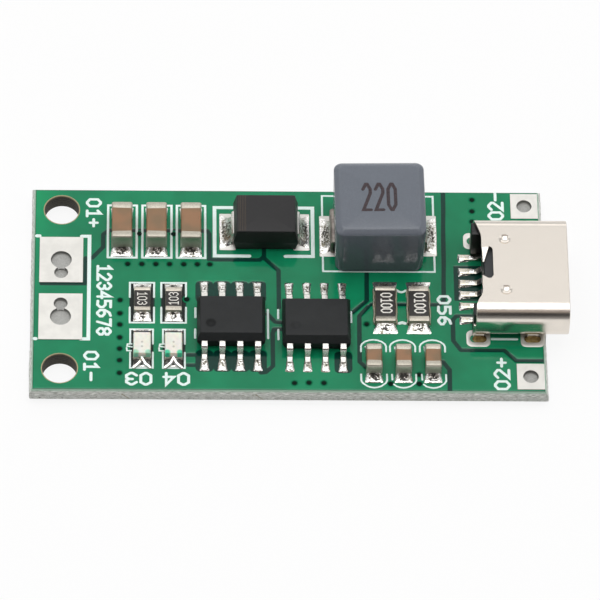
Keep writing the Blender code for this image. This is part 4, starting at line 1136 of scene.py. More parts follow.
DIGITS = {                          # strokes of each mark on a cell 1 wide and 2 high
    "0": [((0, 0.4), (0.4, 0), (0.6, 0), (1, 0.4), (1, 1.6), (0.6, 2), (0.4, 2), (0, 1.6), (0, 0.4))],
    "1": [((0.2, 1.6), (0.6, 2), (0.6, 0)), ((0.2, 0), (1, 0))],
    "2": [((0, 1.6), (0.4, 2), (0.6, 2), (1, 1.6), (1, 1.3), (0, 0), (1, 0))],
    "3": [((0, 1.6), (0.4, 2), (0.6, 2), (1, 1.6), (1, 1.3), (0.7, 1.05), (0.4, 1.05)),
          ((0.7, 1.05), (1, 0.8), (1, 0.4), (0.6, 0), (0.4, 0), (0, 0.4))],
    "4": [((0.75, 0), (0.75, 2), (0, 0.65), (1, 0.65))],
    "5": [((1, 2), (0, 2), (0, 1.2), (0.6, 1.2), (1, 0.85), (1, 0.4), (0.6, 0), (0, 0.05))],
    "6": [((0.9, 2), (0.4, 1.8), (0, 1.1), (0, 0.4), (0.4, 0), (0.6, 0), (1, 0.4), (1, 0.75), (0.6, 1.1),
           (0, 1.0))],
    "7": [((0, 2), (1, 2), (0.4, 0))],
    "8": [((0.4, 1.05), (0, 0.75), (0, 0.4), (0.4, 0), (0.6, 0), (1, 0.4), (1, 0.75), (0.6, 1.05),
           (0.4, 1.05), (0, 1.35), (0, 1.65), (0.4, 2), (0.6, 2), (1, 1.65), (1, 1.35), (0.6, 1.05))],
    "+": [((0, 1), (1, 1)), ((0.5, 0.45), (0.5, 1.55))],
    "-": [((0, 1), (1, 1))],
}
FRAMES = (                          # left, low, right and high side, share of the line's width, gap
    (-12.97, 2.76, -10.89, 7.44, 0.85, None), (-10.48, 2.76, -8.38, 7.44, 0.85, None),
    (-7.99, 2.76, -5.94, 7.44, 0.85, None),
    (-11.36, -2.99, -9.62, 0.53, 0.7, (-1.65, -0.75)), (-9.1, -2.99, -7.33, 0.53, 0.7, (-1.65, -0.75)),
    (-11.31, -6.95, -9.69, -3.58, 0.66, (-5.6, -4.85)),
    (-8.97, -6.95, -7.41, -3.58, 0.66, (-5.6, -4.85)),
    (2.55, 1.64, 10.61, 8.41, 0.72, None),
)
LINES = (                           # share of the line's width, and the corners of one line
    (1.35, (-3.9, 7.3), (-5.26, 7.3), (-5.26, 2.96), (-2.75, 2.96)),
    (1.35, (0.8, 7.3), (1.84, 7.3), (1.84, 2.96), (-0.15, 2.96)),
    (1.35, (-17.9, 4.65), (-18.1, 4.65)),
    (1.35, (-18.05, -4.45), (-18.15, -4.45)),
    (1.35, (-14.85, 4.64), (-14.3, 4.64), (-14.3, -4.45), (-14.85, -4.45)),
    (0.8, (-6.65, -2.5), (-6.65, -1.7)), (0.8, (-6.67, -4.3), (-6.67, -3.55)),
    (0.8, (-1.46, -4.3), (-1.46, -1.8)), (0.8, (-0.72, -2.55), (-0.72, -1.8)),
    (0.8, (-0.72, -4.4), (-0.72, -3.55)), (0.8, (4.5, -2.85), (4.5, -1.95)),
    (1, (14.56, -4.26), (16.34, -4.26)),
    (0.9, (7.86, -0.03), (8.0, -0.14), (8.16, -0.18), (8.32, -0.14), (8.46, -0.03)),
    (1.2, (7.95, -2.93), (8.16, -2.86), (8.37, -2.93)),
    (0.6, (-11.2, -4.86), (-11.5, -4.88), (-11.53, -5.06), (-11.18, -5.12)),
    (0.6, (-11.56, -5.2), (-11.54, -5.45), (-11.24, -5.46)),
    (0.6, (-8.89, -4.86), (-9.19, -4.88), (-9.22, -5.06), (-8.87, -5.12)),
    (0.6, (-9.25, -5.2), (-9.23, -5.45), (-8.93, -5.46)),
)
MARKS = (                           # text, lower left corner, cell, advance, turn
    ("01+", (-14.49, 7.97), (0.62, 0.96), 0.9, -90), ("01-", (-14.55, -5.59), (0.62, 0.94), 0.91, -90),
    ("12345678", (-13.67, 2.09), (0.54, 0.94), 0.8, -90),
    ("03", (-9.82, -7.4), (0.72, 0.98), 1.02, 180), ("04", (-7.14, -7.4), (0.72, 0.98), 1.05, 180),
    ("056", (10.78, -0.52), (0.6, 0.86), 0.93, -90),
    ("02-", (15.67, 6.4), (0.62, 1.0), 0.86, 90), ("02+", (15.68, -8.61), (0.66, 1.0), 0.98, 90),
)


def lettered(shape, text, start, cell, advance, width, degrees, low=POUR_TOP, rise=0.012):
    """Strokes of a row of marks. start is the lower left corner of the first, cell its size."""
    for index, mark in enumerate(text):
        for line in DIGITS[mark]:
            flat = np.asarray(line, float) * (cell[0], cell[1] / 2) + (index * advance, 0)
            shape.add(turned(stroke(flat, width, low, rise), degrees, (start[0], start[1], 0)))


def framed(shape, left, low, right, high, width, gap):
    """A printed rectangle; a gap is (start, end) left open in both of its upright sides."""
    if gap is None:
        shape.add(stroke([(left, low), (right, low), (right, high), (left, high), (left, low)], width))
        return
    shape.add(stroke([(left, gap[1]), (left, high), (right, high), (right, gap[1])], width))
    shape.add(stroke([(left, gap[0]), (left, low), (right, low), (right, gap[0])], width))


def build_outlines(shape, line):
    """Outlines round the parts."""
    for left, low, right, high, share, gap in FRAMES:
        framed(shape, left, low, right, high, line * share, gap)
    for share, *corners in LINES:
        shape.add(stroke(corners, line * share))


def build_capacitor_arcs(shape, line):
    """Pairs of curved brackets above and below the small capacitors, two of them broken at one end."""
    thin = line * 0.66
    crown = [(0.9, -5.4), (0.9, -4.95), (0.82, -4.75), (0.6, -4.55), (0.3, -4.42), (0, -4.38)]
    bowl = [(0.92, -7.4), (0.92, -7.95), (0.82, -8.15), (0.5, -8.42), (0.25, -8.52), (0, -8.55)]
    left_crown, left_bowl = ([(-away, y) for away, y in half[-2::-1]] for half in (crown, bowl))
    for x, broken in ((6.06, False), (8.14, True), (10.27, True)):
        shape.add(stroke(np.array(crown + left_crown) + (x, 0), thin))
        if broken:
            shape.add(stroke(np.array(bowl + left_bowl[:-3] + [(-0.68, -8.26)]) + (x, 0), thin))
            shape.add(stroke([(x - 0.8, -7.4), (x - 0.78, -7.85)], thin))
        else:
            shape.add(stroke(np.array(bowl + left_bowl) + (x, 0), thin))


def build_marks(shape, line):
    """Plain numbers and signs by the pads, lamps and resistors."""
    for text, start, cell, advance, degrees in MARKS:
        lettered(shape, text, start, cell, advance, line * 1.04, degrees)


class CHARGER_OT_legend(bpy.types.Operator):
    """White printed outlines and plain marks"""

    bl_idname = "charger.legend"
    bl_label = "Legend"

    def execute(self, context):
        line = context.scene.charger_legend.line_width / MM
        ink = make_material("legend_ink", legend_ink)
        for name, build in (("printed_outlines", build_outlines), ("printed_arcs", build_capacitor_arcs),
                            ("printed_marks", build_marks)):
            shape = Shape()
            build(shape, line)
            shape.put(name, ink, "solder_mask", solid=False, sharp=180)
        return {"FINISHED"}


# Lands and solder

# The darkness in the middle of each slope is a painted dark reflection.
CHIP_JOINTS = (     # node, count, toe's reach, its half width, climb, how dark in the middle, how wide
    ("output_capacitor_%d", 3, 0.58, 0.82, 0.26, 2.0, 0.5),
    ("input_capacitor_%d", 3, 0.6, 0.66, 0.32, 2.7, 0.5),
    ("sense_resistor_%d", 2, 0.72, 0.92, 0.5, 1.6, 0.55),
    ("lamp_resistor_%d", 2, 0.62, 0.64, 0.55, 2.4, 0.34),
    ("lamp_%d_base", 2, 0.6, 0.62, 0.5, 4.0, 2.0),
)
END_JOINTS = (      # node, side, toe's reach, half width of the land, rise, lift
    ("inductor_terminal_left", -1, 0.72, 1.82, 0.5, 0.01),
    ("inductor_terminal_right", 1, 0.74, 1.82, 0.5, 0.01),
    ("diode_lead_cathode", -1, 0.85, 1.63, 0.9, 0),
    ("diode_lead_anode", 1, 0.7, 1.63, 0.9, 0),
)
PAD_HOLES = (                       # node, distance of the hole from its middle, radius
    ("battery_pad_positive", 0.0, 0.75), ("battery_pad_positive", -1.15, 0.5),
    ("battery_pad_negative", 0.0, 0.75), ("battery_pad_negative", 1.15, 0.5),
    ("input_pad_negative", 0.0, 0.55), ("input_pad_positive", 0.0, 0.55),
)


def land_ring(middle_x, middle_y, half, hole, corner):
    """A tinned ring round a slot: rounded outlines from its foot over its top and down the slot."""
    sizes = np.array([              # half length, half width, corner, height
        (half[0], half[1], corner, 0.0), (half[0], half[1], corner, LAND_TOP - 0.01),
        (half[0] - 0.02, half[1] - 0.02, corner, LAND_TOP),
        (hole[0] + 0.03, hole[1] + 0.03, hole[1], LAND_TOP),
        (hole[0], hole[1], hole[1] - 0.01, LAND_TOP - 0.02), (hole[0], hole[1], hole[1] - 0.01, -0.5)])
    return lofted(sizes[:, 3], *sizes.T[:3], 8, closed=False) + (middle_x, middle_y, 0)


def chip_solder(shape, name, toe_reach, half_toe, climb, dark, spread, seed):
    """Solder at both ends of a chip, from its packed box, painted darker up its middle by the value
    dark, as a dark reflection.
    """
    low, high = node_box(name)
    middle, half = (low + high) / 2, (high - low) / 2
    for side in (0, 1):
        grid = solder_slope(-half[1] - toe_reach, -half[1] + 0.02, half_toe, half[0] * 0.97,
                            climb * high[2], seed + side)
        shape.add(turned(grid, 180 * side, (middle[0], middle[1], 0)),
                  value=dark * middle_share(grid, 0.16, 0.9, spread))


def build_chip_solder():
    """Solder under and beside every chip part and lamp."""
    shape = Shape()
    seed = 0
    for name, count, *joint in CHIP_JOINTS:
        for index in range(1, count + 1):
            seed += 2
            chip_solder(shape, name % index, *joint, seed)
    return shape


def lead_solder(shape, name, outward, seed):
    """A flared foot of solder round a lead of a package."""
    low, high = node_box(name)
    tip = high[1] if outward > 0 else low[1]
    grid = solder_slope(0, 1.3, 0.34, 0.25, 0.2, seed, lip=0.1, sag=1.3)
    # The value paints each foot darker up its middle: a painted dark reflection.
    shape.add(turned(grid, 0 if outward < 0 else 180, ((low[0] + high[0]) / 2, tip + 0.82 * outward, 0)),
              value=1.15 * middle_share(grid, 0.2, 0.85, 0.8))


def build_lead_solder():
    """Solder feet of both packages."""
    shape = Shape()
    for package in PACKAGES:
        for index in range(1, 9):
            lead_solder(shape, "%s_lead_%d" % (package, index), -1 if index <= 4 else 1, index)
    return shape


def build_end_joints(lands, mounds):
    """Lands and mounds of solder at the ends of the inductor and the diode."""
    for index, (name, outer, reach, half_width, rise, lift) in enumerate(END_JOINTS):
        low, high = node_box(name)
        edge, middle_y = low[0] if outer < 0 else high[0], (low[1] + high[1]) / 2
        plate = soft_block(0.0, LAND_TOP, 0.6, half_width, 0.08, 0.015, 2)
        lands.add(plate + (edge + outer * (reach - 0.6), middle_y, lift), around=True)
        grid = solder_slope(-reach + 0.03, 0.02, half_width - 0.05, half_width - 0.45, rise, 80 + index,
                            steps=20, sag=2.2)
        # The value paints each mound darker up its middle: a painted dark reflection.
        mounds.add(turned(grid, 90 * outer, (edge, middle_y, lift)),
                   value=1.35 * middle_share(grid, 0.1, 0.9, 0.75))


def build_pad_plugs():
    """Solder that rose in the wire pads' holes: a shallow bowl that climbs the barrel's wall.

    Its height grows with the sixth power of the distance from the hole's middle, on a low ripple.
    """
    shape = Shape()
    share = np.array([0.97, 0.93, 0.85, 0.7, 0.5, 0.3, 0.0])
    height = -0.3 + 0.24 * share ** 6 + 0.03 * np.cos(share * 9)
    for name, step, radius in PAD_HOLES:
        place = node_middle(name)[:2] + (0, step)
        profile = np.stack([share * radius, height], 1)
        shape.add(turned_profile(profile, place, 32), around=True, value=1.0)
    return shape


class CHARGER_OT_solder(bpy.types.Operator):
    """Tinned lands, wire pads and solder at every joint"""

    bl_idname = "charger.solder"
    bl_label = "Lands and solder"

    def execute(self, context):
        tin = make_material("tinned_copper", tinned_copper)
        solder = make_material("bright_solder", bright_solder)
        paint_nodes(WIRE_PADS, tin)
        lands, mounds = Shape(), Shape()
        build_end_joints(lands, mounds)
        for x, y in stake_middles():
            lands.add(land_ring(x, y, STAKE_LAND, STAKE_HALF, 0.4), around=True)
        mounds.put("end_solder", solder, "tinned_pad", solid=False, sharp=60)
        lands.put("tinned_lands", tin, "tinned_pad", solid=False)
        build_pad_plugs().put("pad_plugs", tin, "tinned_pad", solid=False, sharp=60)
        build_chip_solder().put("chip_solder", solder, "tinned_pad", solid=False, sharp=60)
        build_lead_solder().put("lead_solder", solder, "tinned_pad", solid=False, sharp=60)
        return {"FINISHED"}


# Packages, inductor and diode

LEAD_LINE = 0.85                    # height where the leads leave a package
LEAD_SEAT = 0.13                    # middle height of a lead's foot
INDEX_INSET = (0.98, 1.2)           # index dip, from the package's lower left corner
INDEX_RADIUS = 0.4
INDEX_DEPTH = 0.08
INDUCTOR_HALF = 3.25                # half the side of its block
INDUCTOR_TURN = 0.8                 # degrees that the inductor sits askew
DIODE_SHIFT = 0.1                   # how far the diode was set down past its place


def evenly(grid, count):
    """Closed rows with their columns spread evenly round the last row."""
    ring = np.concatenate([grid, grid[:, :1]], 1)
    run = np.concatenate([[0], np.cumsum(np.linalg.norm(np.diff(ring[-1], axis=0), axis=1))])
    place = np.interp(np.linspace(0, run[-1], count, endpoint=False), run, np.arange(len(run)))
    index = place.astype(int)
    share = (place - index)[None, :, None]
    return ring[:, index] * (1 - share) + ring[:, index + 1] * share


def moulded(low, belt, high, half, edge, steps, end_draws, side_draws):
    """Arguments of lofted for a moulding: its bottom, the belt where its mould parts and a round rim.

    The draws say how far it is drawn in at its ends and sides at the bottom, at both levels of
    the belt and at the top, where the rim follows a quarter circle: edge times one less cosine.
    """
    turn = np.linspace(0, math.pi / 2, steps)
    heights = np.concatenate([[low, *belt], high - edge + edge * np.sin(turn)])
    end, side = (np.concatenate([draws[:3], draws[3] + edge * (1 - np.cos(turn))])
                 for draws in (end_draws, side_draws))
    return heights, half[0] - end, half[1] - side


def build_package(name, material):
    """Moulded package: drafted levels up to the lead line and down from it, and a round index dip.

    From the top's rim the rows close in on a circle about the dip, and then follow its bowl.
    """
    shift, dip_tone = PACKAGES[name]
    low, high = node_box(name + "_body")
    middle, half = (low + high) / 2, (high - low) / 2
    levels = moulded(low[2], (LEAD_LINE - 0.1, LEAD_LINE + 0.1), high[2], half, 0.07, 5,
                     (0.2, 0.0, 0.0, 0.2), (0.16, 0.0, 0.0, 0.32))
    grid = evenly(lofted(*levels, 0.05, 5, closed=False), 120)
    dip = INDEX_INSET - half[:2]
    away = grid[-1, :, :2] - dip
    away = away / np.linalg.norm(away, axis=1, keepdims=True)
    radius = np.array([0.42, 0.37, 0.3, 0.2, 0.1, 0.0])
    depth = -INDEX_DEPTH * (1 - (radius / INDEX_RADIUS) ** 2) * (radius < INDEX_RADIUS)
    bowl = np.concatenate([dip + away[None] * radius[:, None, None],
                           np.broadcast_to((high[2] + depth)[:, None, None],
                                           (len(radius), len(away), 1))], -1)
    grid = np.concatenate([grid[:1] * (0, 0, 1), grid, bowl])
    dipped = np.zeros(len(grid))
    dipped[-5:] = np.array([0.5, 1, 1, 0.8, 0.6]) * dip_tone
    Shape().add(grid + (middle[0], middle[1] - shift, 0), around=True, value=dipped[:, None]).put(
        name + "_moulding", material, "black_epoxy", [name + "_body"], sharp=30)


def build_package_leads(name, material):
    """Gull-wing leads: a rounded strip bent out, down and along the board, one for each place."""
    shape = Shape()
    nodes = ["%s_lead_%d" % (name, index) for index in range(1, 9)]
    body = node_middle(name + "_body")
    for index, node in enumerate(nodes):
        low, high = node_box(node)
        reach = max(abs(low[1] - body[1]), abs(high[1] - body[1]))
        path = bent_path([(1.6, LEAD_LINE), (reach - 0.7, LEAD_LINE), (reach - 0.5, LEAD_SEAT),
                          (reach, LEAD_SEAT)], 0.16)
        shoulder = smooth_step(path[:, 1], 0.3, 0.75)
        waist = np.exp(-((path[:, 1] - 0.42) / 0.16) ** 2)
        grid = bent_strip(path, 0.2 + 0.025 * shoulder - 0.045 * waist, 0.1, 0.04)
        seat = ((low[0] + high[0]) / 2, body[1] - PACKAGES[name][0], 0)
        shape.add(turned(grid, 180 if index < 4 else 0, seat), around=True)
    shape.put(name + "_leads", material, "tinned_lead", nodes, sharp=50)


class CHARGER_OT_packages(bpy.types.Operator):
    """The two eight-lead packages"""

    bl_idname = "charger.packages"
    bl_label = "Packages"

    def execute(self, context):
        epoxy = make_material("black_epoxy", black_epoxy)
        tin = make_material("lead_tin", lead_tin)
        for name in PACKAGES:
            build_package(name, epoxy)
            build_package_leads(name, tin)
        return {"FINISHED"}


def build_inductor_body(coat, ink):
    """Moulded block with round upright corners and a chamfered rim, and its stamped number."""
    low, high = node_box("inductor_body")
    middle = (low + high) / 2
    rim_drop = np.array([0.4, 0.33, 0.27, 0.21, 0.045, 0.012, 0.0])
    heights = np.concatenate([[low[2], low[2] + 0.05], high[2] - rim_drop])
    draw = np.array([0.14, 0.07, 0.0, 0.01, 0.05, 0.13, 0.36, 0.45, 0.52])
    corner = np.array([0.9, 0.75] + [0.6] * 7)
    half = INDUCTOR_HALF - draw
    grid = lofted(heights, half, half, np.maximum(corner - draw * 0.6, 0.3), 8)
    Shape().add(turned(grid, INDUCTOR_TURN, (middle[0], middle[1], 0)), around=True).put(
        "inductor_block", coat, "iron_composite", ["inductor_body"], sharp=50)
    marks = Shape()
    lettered(marks, "220", middle[:2] - 1.2, (0.52, 2.3), 0.9, 0.28, INDUCTOR_TURN, high[2] - 0.002,
             0.008)
    marks.put("inductor_number", ink, "iron_composite", solid=False, sharp=180)


class CHARGER_OT_inductor(bpy.types.Operator):
    """Moulded inductor with its terminals and number"""

    bl_idname = "charger.inductor"
    bl_label = "Inductor"

    def execute(self, context):
        build_inductor_body(make_material("iron_powder", iron_powder),
                            make_material("stamped_ink", stamped_ink))
        paint_nodes(["inductor_terminal_left", "inductor_terminal_right"],
                    make_material("dull_terminal", dull_terminal))
        return {"FINISHED"}


class CHARGER_OT_diode(bpy.types.Operator):
    """Moulded diode with its cathode band and folded leads"""

    bl_idname = "charger.diode"
    bl_label = "Diode"

    def execute(self, context):
        epoxy = make_material("diode_epoxy", diode_epoxy)
        low, high = node_box("diode_body")
        middle, half = (low + high) / 2 + (0, DIODE_SHIFT, 0), (high - low) / 2
        levels = moulded(low[2], (1.0, 1.08), high[2], half, 0.06, 4, (0.06, -0.09, -0.09, 0.13),
                         (0.15, 0.0, 0.0, 0.15))
        body = Shape().add(lofted(*levels, 0.08, 4) + (middle[0], middle[1], 0), around=True)
        body.put("diode_moulding", epoxy, "diode_epoxy", ["diode_body"], sharp=30)
        band = Shape()
        reach = half[1] - 0.22
        for index in range(5):
            x = middle[0] - half[0] + 0.3 + index * 0.12
            line = stroke([(x, middle[1] - reach), (x, middle[1] + reach)], 0.042, high[2] - 0.003)
            band.add(line, value=1.0)
        band.put("diode_band", epoxy, "diode_epoxy", solid=False, sharp=180)
        paint_nodes(["diode_lead_anode", "diode_lead_cathode"], bpy.data.materials["lead_tin"])
        return {"FINISHED"}


# Chips and lamps

CHIP_TRIM = 0.045                   # how much narrower a chip is drawn on each side than its solid
CAPACITORS = (                      # node, length of a tinned end, rounding of its edges, seed
    ("output_capacitor_%d", 0.56, 0.14, 0),
    ("input_capacitor_%d", 0.5, 0.13, 10),
)
LAMP_HALF_LENGTH = 0.95             # of the milky casting
LAMP_SHIFT = 0.07                   # how far the castings were set down short of their places
LAMP_SPOT = (0.46, -0.84)           # tinted spots, from the casting's middle
LAMP_DOTS = (0.05, -0.35)


def chip_grid(name, end_length, edge, proud, seed, coated):
    """A chip along y: a rounded section carried from end to end, wider over its tinned ends.

    The two lines where the tin stops wander by two seeded sines round the section. The values
    are 1 on the tin, 0 between, and 2 on the bare ceramic below the coat of a coated chip.
    """
    low, high = node_box(name)
    middle, half = (low + high) / 2, (high - low) / 2 - (CHIP_TRIM, 0, 0)
    turn = np.linspace(0, math.pi / 2, 5)
    ends = half[1] - edge + edge * np.sin(turn)
    rim = edge * (1 - np.cos(turn))
    inner = half[1] - end_length
    step = inner + 4 * proud
    y = np.concatenate([-ends[::-1], [-step, -inner, -inner + 0.01, 0, inner - 0.01, inner, step], ends])
    inset = np.concatenate([rim[::-1], [0] + [proud] * 5 + [0], rim])
    section = rounded_outline(half[0] - inset, half[2] - inset, edge, 4)
    phase = np.random.default_rng(seed).uniform(0, 2 * math.pi, 2)
    angle = np.linspace(0, 2 * math.pi, section.shape[1], endpoint=False)
    wander = 0.03 * (np.sin(2 * angle + phase[0]) + 0.6 * np.sin(5 * angle + phase[1]))
    near_line = (np.abs(np.abs(y) - inner) < 0.03)[:, None] * np.sign(y)[:, None]
    where = y[:, None] + near_line * wander[None]
    grid = closed_rows(np.stack([section[..., 0], where, section[..., 1]], -1))
    tin = np.array([1] * 8 + [0] * 3 + [1] * 8)[:, None] * np.ones(grid.shape[:2])
    bare = (tin < 0.5) & (grid[..., 2] < half[2] - 0.03)
    return grid + middle, np.where(bare & coated, 2, tin)


def build_chip(name, material, slot, end_length, edge, proud, seed, coated=False):
    """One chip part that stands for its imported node."""
    grid, tin = chip_grid(name, end_length, edge, proud, seed, coated)
    Shape().add(grid, around=True, value=tin).put(name + "_chip", material, slot, [name], sharp=45)


def add_skirt(shape, low, high, side, index):
    """Flux along one side of a sense resistor, its edge wavy by two sines and its value patchy."""
    y = np.linspace(low[1] + 0.1, high[1] - 0.1, 25)
    wave = 0.018 * np.sin(y * 4.3 + 2 * index + side) + 0.012 * np.sin(y * 9.7 - 3 * side * index)
    x = (low[0] + high[0]) / 2 + side * (0.8 + wave)
    grid = stroke(np.stack([x, y], 1), 0.15, low=0.01, rise=0.3)
    shape.add(grid, value=1 + smooth_step(np.sin(grid[..., 1] * 6.1 + index * side), -0.3, 0.6))


class CHARGER_OT_chips(bpy.types.Operator):
    """Ceramic capacitors and chip resistors with their numbers"""

    bl_idname = "charger.chips"
    bl_label = "Chip parts"

    def execute(self, context):
        ceramic = make_material("capacitor_ceramic", capacitor_ceramic)
        coat = make_material("resistor_coat", resistor_coat)
        for index in (1, 2, 3):
            for name, end, edge, seed in CAPACITORS:
                build_chip(name % index, ceramic, "capacitor_ceramic", end, edge, 0.03, seed + index)
        marks, skirts = Shape(), Shape()
        for index, side in ((1, 1), (2, -1)):
            name = "sense_resistor_%d" % index
            build_chip(name, coat, "resistor_ceramic", 0.42, 0.05, 0.012, 20 + index, coated=True)
            low, high = node_box(name)
            start = (low + high)[:2] / 2 + (-0.3, 0.88)
            lettered(marks, "0100", start, (0.31, 0.76), 0.46, 0.11, -90, high[2] - 0.014)
            add_skirt(skirts, low, high, -1, index)
            add_skirt(skirts, low, high, 1, index)
            name = "lamp_resistor_%d" % index
            build_chip(name, coat, "resistor_ceramic", 0.33, 0.05, 0.012, 30 + index, coated=True)
            low, high = node_box(name)
            start = (low + high)[:2] / 2 + (-0.33 * side, 0.55 * side)
            lettered(marks, "103", start, (0.28, 0.66), 0.4, 0.07, -90 * side, high[2] - 0.014)
        skirts.put("resistor_flux", coat, "resistor_ceramic", solid=False, sharp=180)
        marks.put("chip_numbers", make_material("chip_ink", chip_ink), "resistor_ceramic", solid=False,
                  sharp=180)
        return {"FINISHED"}


class CHARGER_OT_lamps(bpy.types.Operator):
    """Indicator lamps: notched bases and milky castings"""

    bl_idname = "charger.lamps"
    bl_label = "Lamps"

    def execute(self, context):
        ridges = Shape()
        outline = np.array([(-0.58, 0.0), (-0.22, 0.28), (0.0, 0.68), (0.22, 0.28), (0.58, 0.0)])
        for index in (1, 2):
            name, node = "lamp_%d_casting" % index, "lamp_%d_lens" % index
            low, high = node_box(node)
            middle = (low + high) / 2 - (0, LAMP_SHIFT, 0)
            half_width = (high[0] - low[0]) / 2
            grid = soft_block(low[2], high[2], half_width, LAMP_HALF_LENGTH, 0.08, 0.06, 4, (0, 0.04))
            cast = make_material(name, lamp_cast(middle, 0.35 + 0.3 * index))
            casting = Shape().add(grid + (middle[0], middle[1], 0), around=True)
            casting.put(name, cast, "lamp_lens", [node], sharp=50)
            toe = middle[1] - LAMP_HALF_LENGTH - 0.72
            arch = stroke(outline + (middle[0], toe), 0.25, low=0.07, rise=0.12, power=6)
            arch[..., 2] += np.maximum(arch[..., 1] - toe, 0) * 0.36
            ridges.add(arch)
        ridges.put("lamp_solder_ridges", bpy.data.materials["bright_solder"], "tinned_pad", solid=False,
                   sharp=180)
        paint_nodes(["lamp_1_base", "lamp_2_base"], make_material("lamp_laminate", lamp_laminate))
        return {"FINISHED"}


# Inlet


def carve(mesh, cutters):
    """The mesh with each closed grid taken out of it by an exact boolean."""
    body = bpy.data.objects.new("blank", mesh)
    bpy.context.scene.collection.objects.link(body)
    tools = []
    for index, grid in enumerate(cutters):
        tool = bpy.data.objects.new("cutter_%d" % index, Shape().add(grid, around=True).mesh("cutter"))
        bpy.context.scene.collection.objects.link(tool)
        tools.append(tool)
        modifier = body.modifiers.new("cut", "BOOLEAN")
        modifier.solver, modifier.object = "EXACT", tool
    bpy.context.view_layer.update()
    carved = bpy.data.meshes.new_from_object(body.evaluated_get(bpy.context.evaluated_depsgraph_get()))
    for item in [body, *tools]:
        bpy.data.objects.remove(item, do_unlink=True)
    carved.shade_smooth()
    carved.set_sharp_from_angle(angle=math.radians(20))
    return carved


def prism(outline, low, high):
    """An upright prism on a flat outline, as a closed grid."""
    outline = np.asarray(outline, float)
    levels = np.stack([np.concatenate([outline, np.full((len(outline), 1), z)], 1) for z in (low, high)])
    return closed_rows(levels)


def bowl_grid(centre, radius, top, depth):
    """A sphere that sinks a dimple of a given radius and depth into a level face.

    The sphere's radius is the sum of their squares over twice the depth.
    """
    ball = (radius * radius + depth * depth) / (2 * depth)
    polar = np.linspace(0, math.pi, 33)
    return turned_profile(np.stack([ball * np.sin(polar), top + ball - depth - ball * np.cos(polar)], 1),
                          centre, 72)


REAR_NOTCH = (                      # corners of the cut in the shell's top, from its rear edge's middle
    (-0.4, -4.1), (-0.02, -3.95), (0.06, -3.45), (0.2, -3.05), (0.38, -2.75), (0.47, -2.5), (0.5, -2.2),
    (0.5, 2.35), (0.47, 2.7), (0.38, 3.0), (0.24, 3.4), (0.1, 3.85), (-0.02, 4.3), (-0.4, 4.45))
HOOK_SLOT = (                       # corners of the slot in the shell's top, from the same point
    (1.3, -0.95), (1.3, 1.32), (1.23, 1.5), (1.11, 1.58), (1.0, 1.62), (0.3, 1.62), (0.17, 1.5),
    (0.17, -0.95), (0.57, -0.97), (0.92, -1.2), (1.12, -1.2))
DIMPLE_PLACE = (2.18, 2.24)         # from the shell's rear and from its middle
SHELL_BOTTOM = 0.03
SHELL_WALL = 0.3
SHELL_CORNER = 1.15
CONTACTS = ["usb_contact_%d" % index for index in range(1, 7)]


def build_shell(metal):
    """Folded shell: the wall's own section, rounded at the mouth, carried round the outline.

    The section is a thin rounded rectangle as long as the shell. It stands out from the
    outline by its own thickness at each point round it.
    """
    low, high = node_box("usb_shell")
    rear, top = low[0], high[2]
    middle_y, middle_z = (low[1] + high[1]) / 2, (top + SHELL_BOTTOM) / 2
    half_y = (high[1] - low[1]) / 2 - 0.02 - SHELL_WALL / 2
    half_z = (top - SHELL_BOTTOM) / 2 - SHELL_WALL / 2
    outline = with_holds(rounded_outline(half_y, half_z, SHELL_CORNER - SHELL_WALL / 2, 20)[0], 0.04)
    normal = -path_normals(outline, closed=True)
    section = with_holds(rounded_outline((high[0] - low[0]) / 2, SHELL_WALL / 2, 0.08, 5)[0], 0.01)
    flat = outline[:, None] + normal[:, None] * section[None, :, 1:2]
    x = np.broadcast_to((low[0] + high[0]) / 2 + section[None, :, :1], flat.shape[:2] + (1,))
    tube = np.concatenate([x, flat + (middle_y, middle_z)], -1)
    tube = np.concatenate([tube, tube[:1]])
    mesh = Shape().add(tube, around=True).mesh("usb_shell_skin")
    cutters = [prism(np.array(hole) + (rear, middle_y), top - 1.2, top + 0.5)
               for hole in (REAR_NOTCH, HOOK_SLOT)]
    cutters += [bowl_grid((rear + DIMPLE_PLACE[0], middle_y + side * DIMPLE_PLACE[1]), 0.42, top, 0.15)
                for side in (1, -1)]
    cutters.append(prism(rounded_outline(1.4, 3.45, 0.1, 4)[0] + (rear, middle_y), -0.5, 0.5))
    put("usb_shell_skin", carve(mesh, cutters), metal, ["usb_shell"])
    stakes = Shape()
    for x, y in stake_middles():
        grid = soft_block(-BOARD_DEPTH + 0.1, middle_z, 0.4, 0.11, 0.05, 0.03, 2)
        stakes.add(grid + (x, y + math.copysign(0.12, middle_y - y), 0), around=True)
    stakes.put("usb_stakes", metal, "nickel_shell")


def build_hook_tooth(metal):
    """Spring cut from the shell's top in the hooked slot: a strip that tapers and dips to the rear."""
    low, high = node_box("usb_shell")
    along = np.linspace(1.75, 0.3, 12)
    path = np.stack([along, high[2] - 0.062 - 0.08 * np.maximum(1.62 - along, 0)], 1)
    width = np.interp(along, (0.3, 0.5, 1.4, 1.62, 1.75), (0.05, 0.085, 0.235, 0.28, 0.2))
    tooth = bent_strip(path, width, 0.06, 0.03)
    tooth[..., 0] += np.interp(tooth[..., 1], (0.3, 1.4, 1.75), (0.6, 0.75, 0.76))
    tooth = tooth + (low[0], (low[1] + high[1]) / 2, 0)
    Shape().add(tooth, around=True).put("usb_hook_tooth", metal, "nickel_shell")


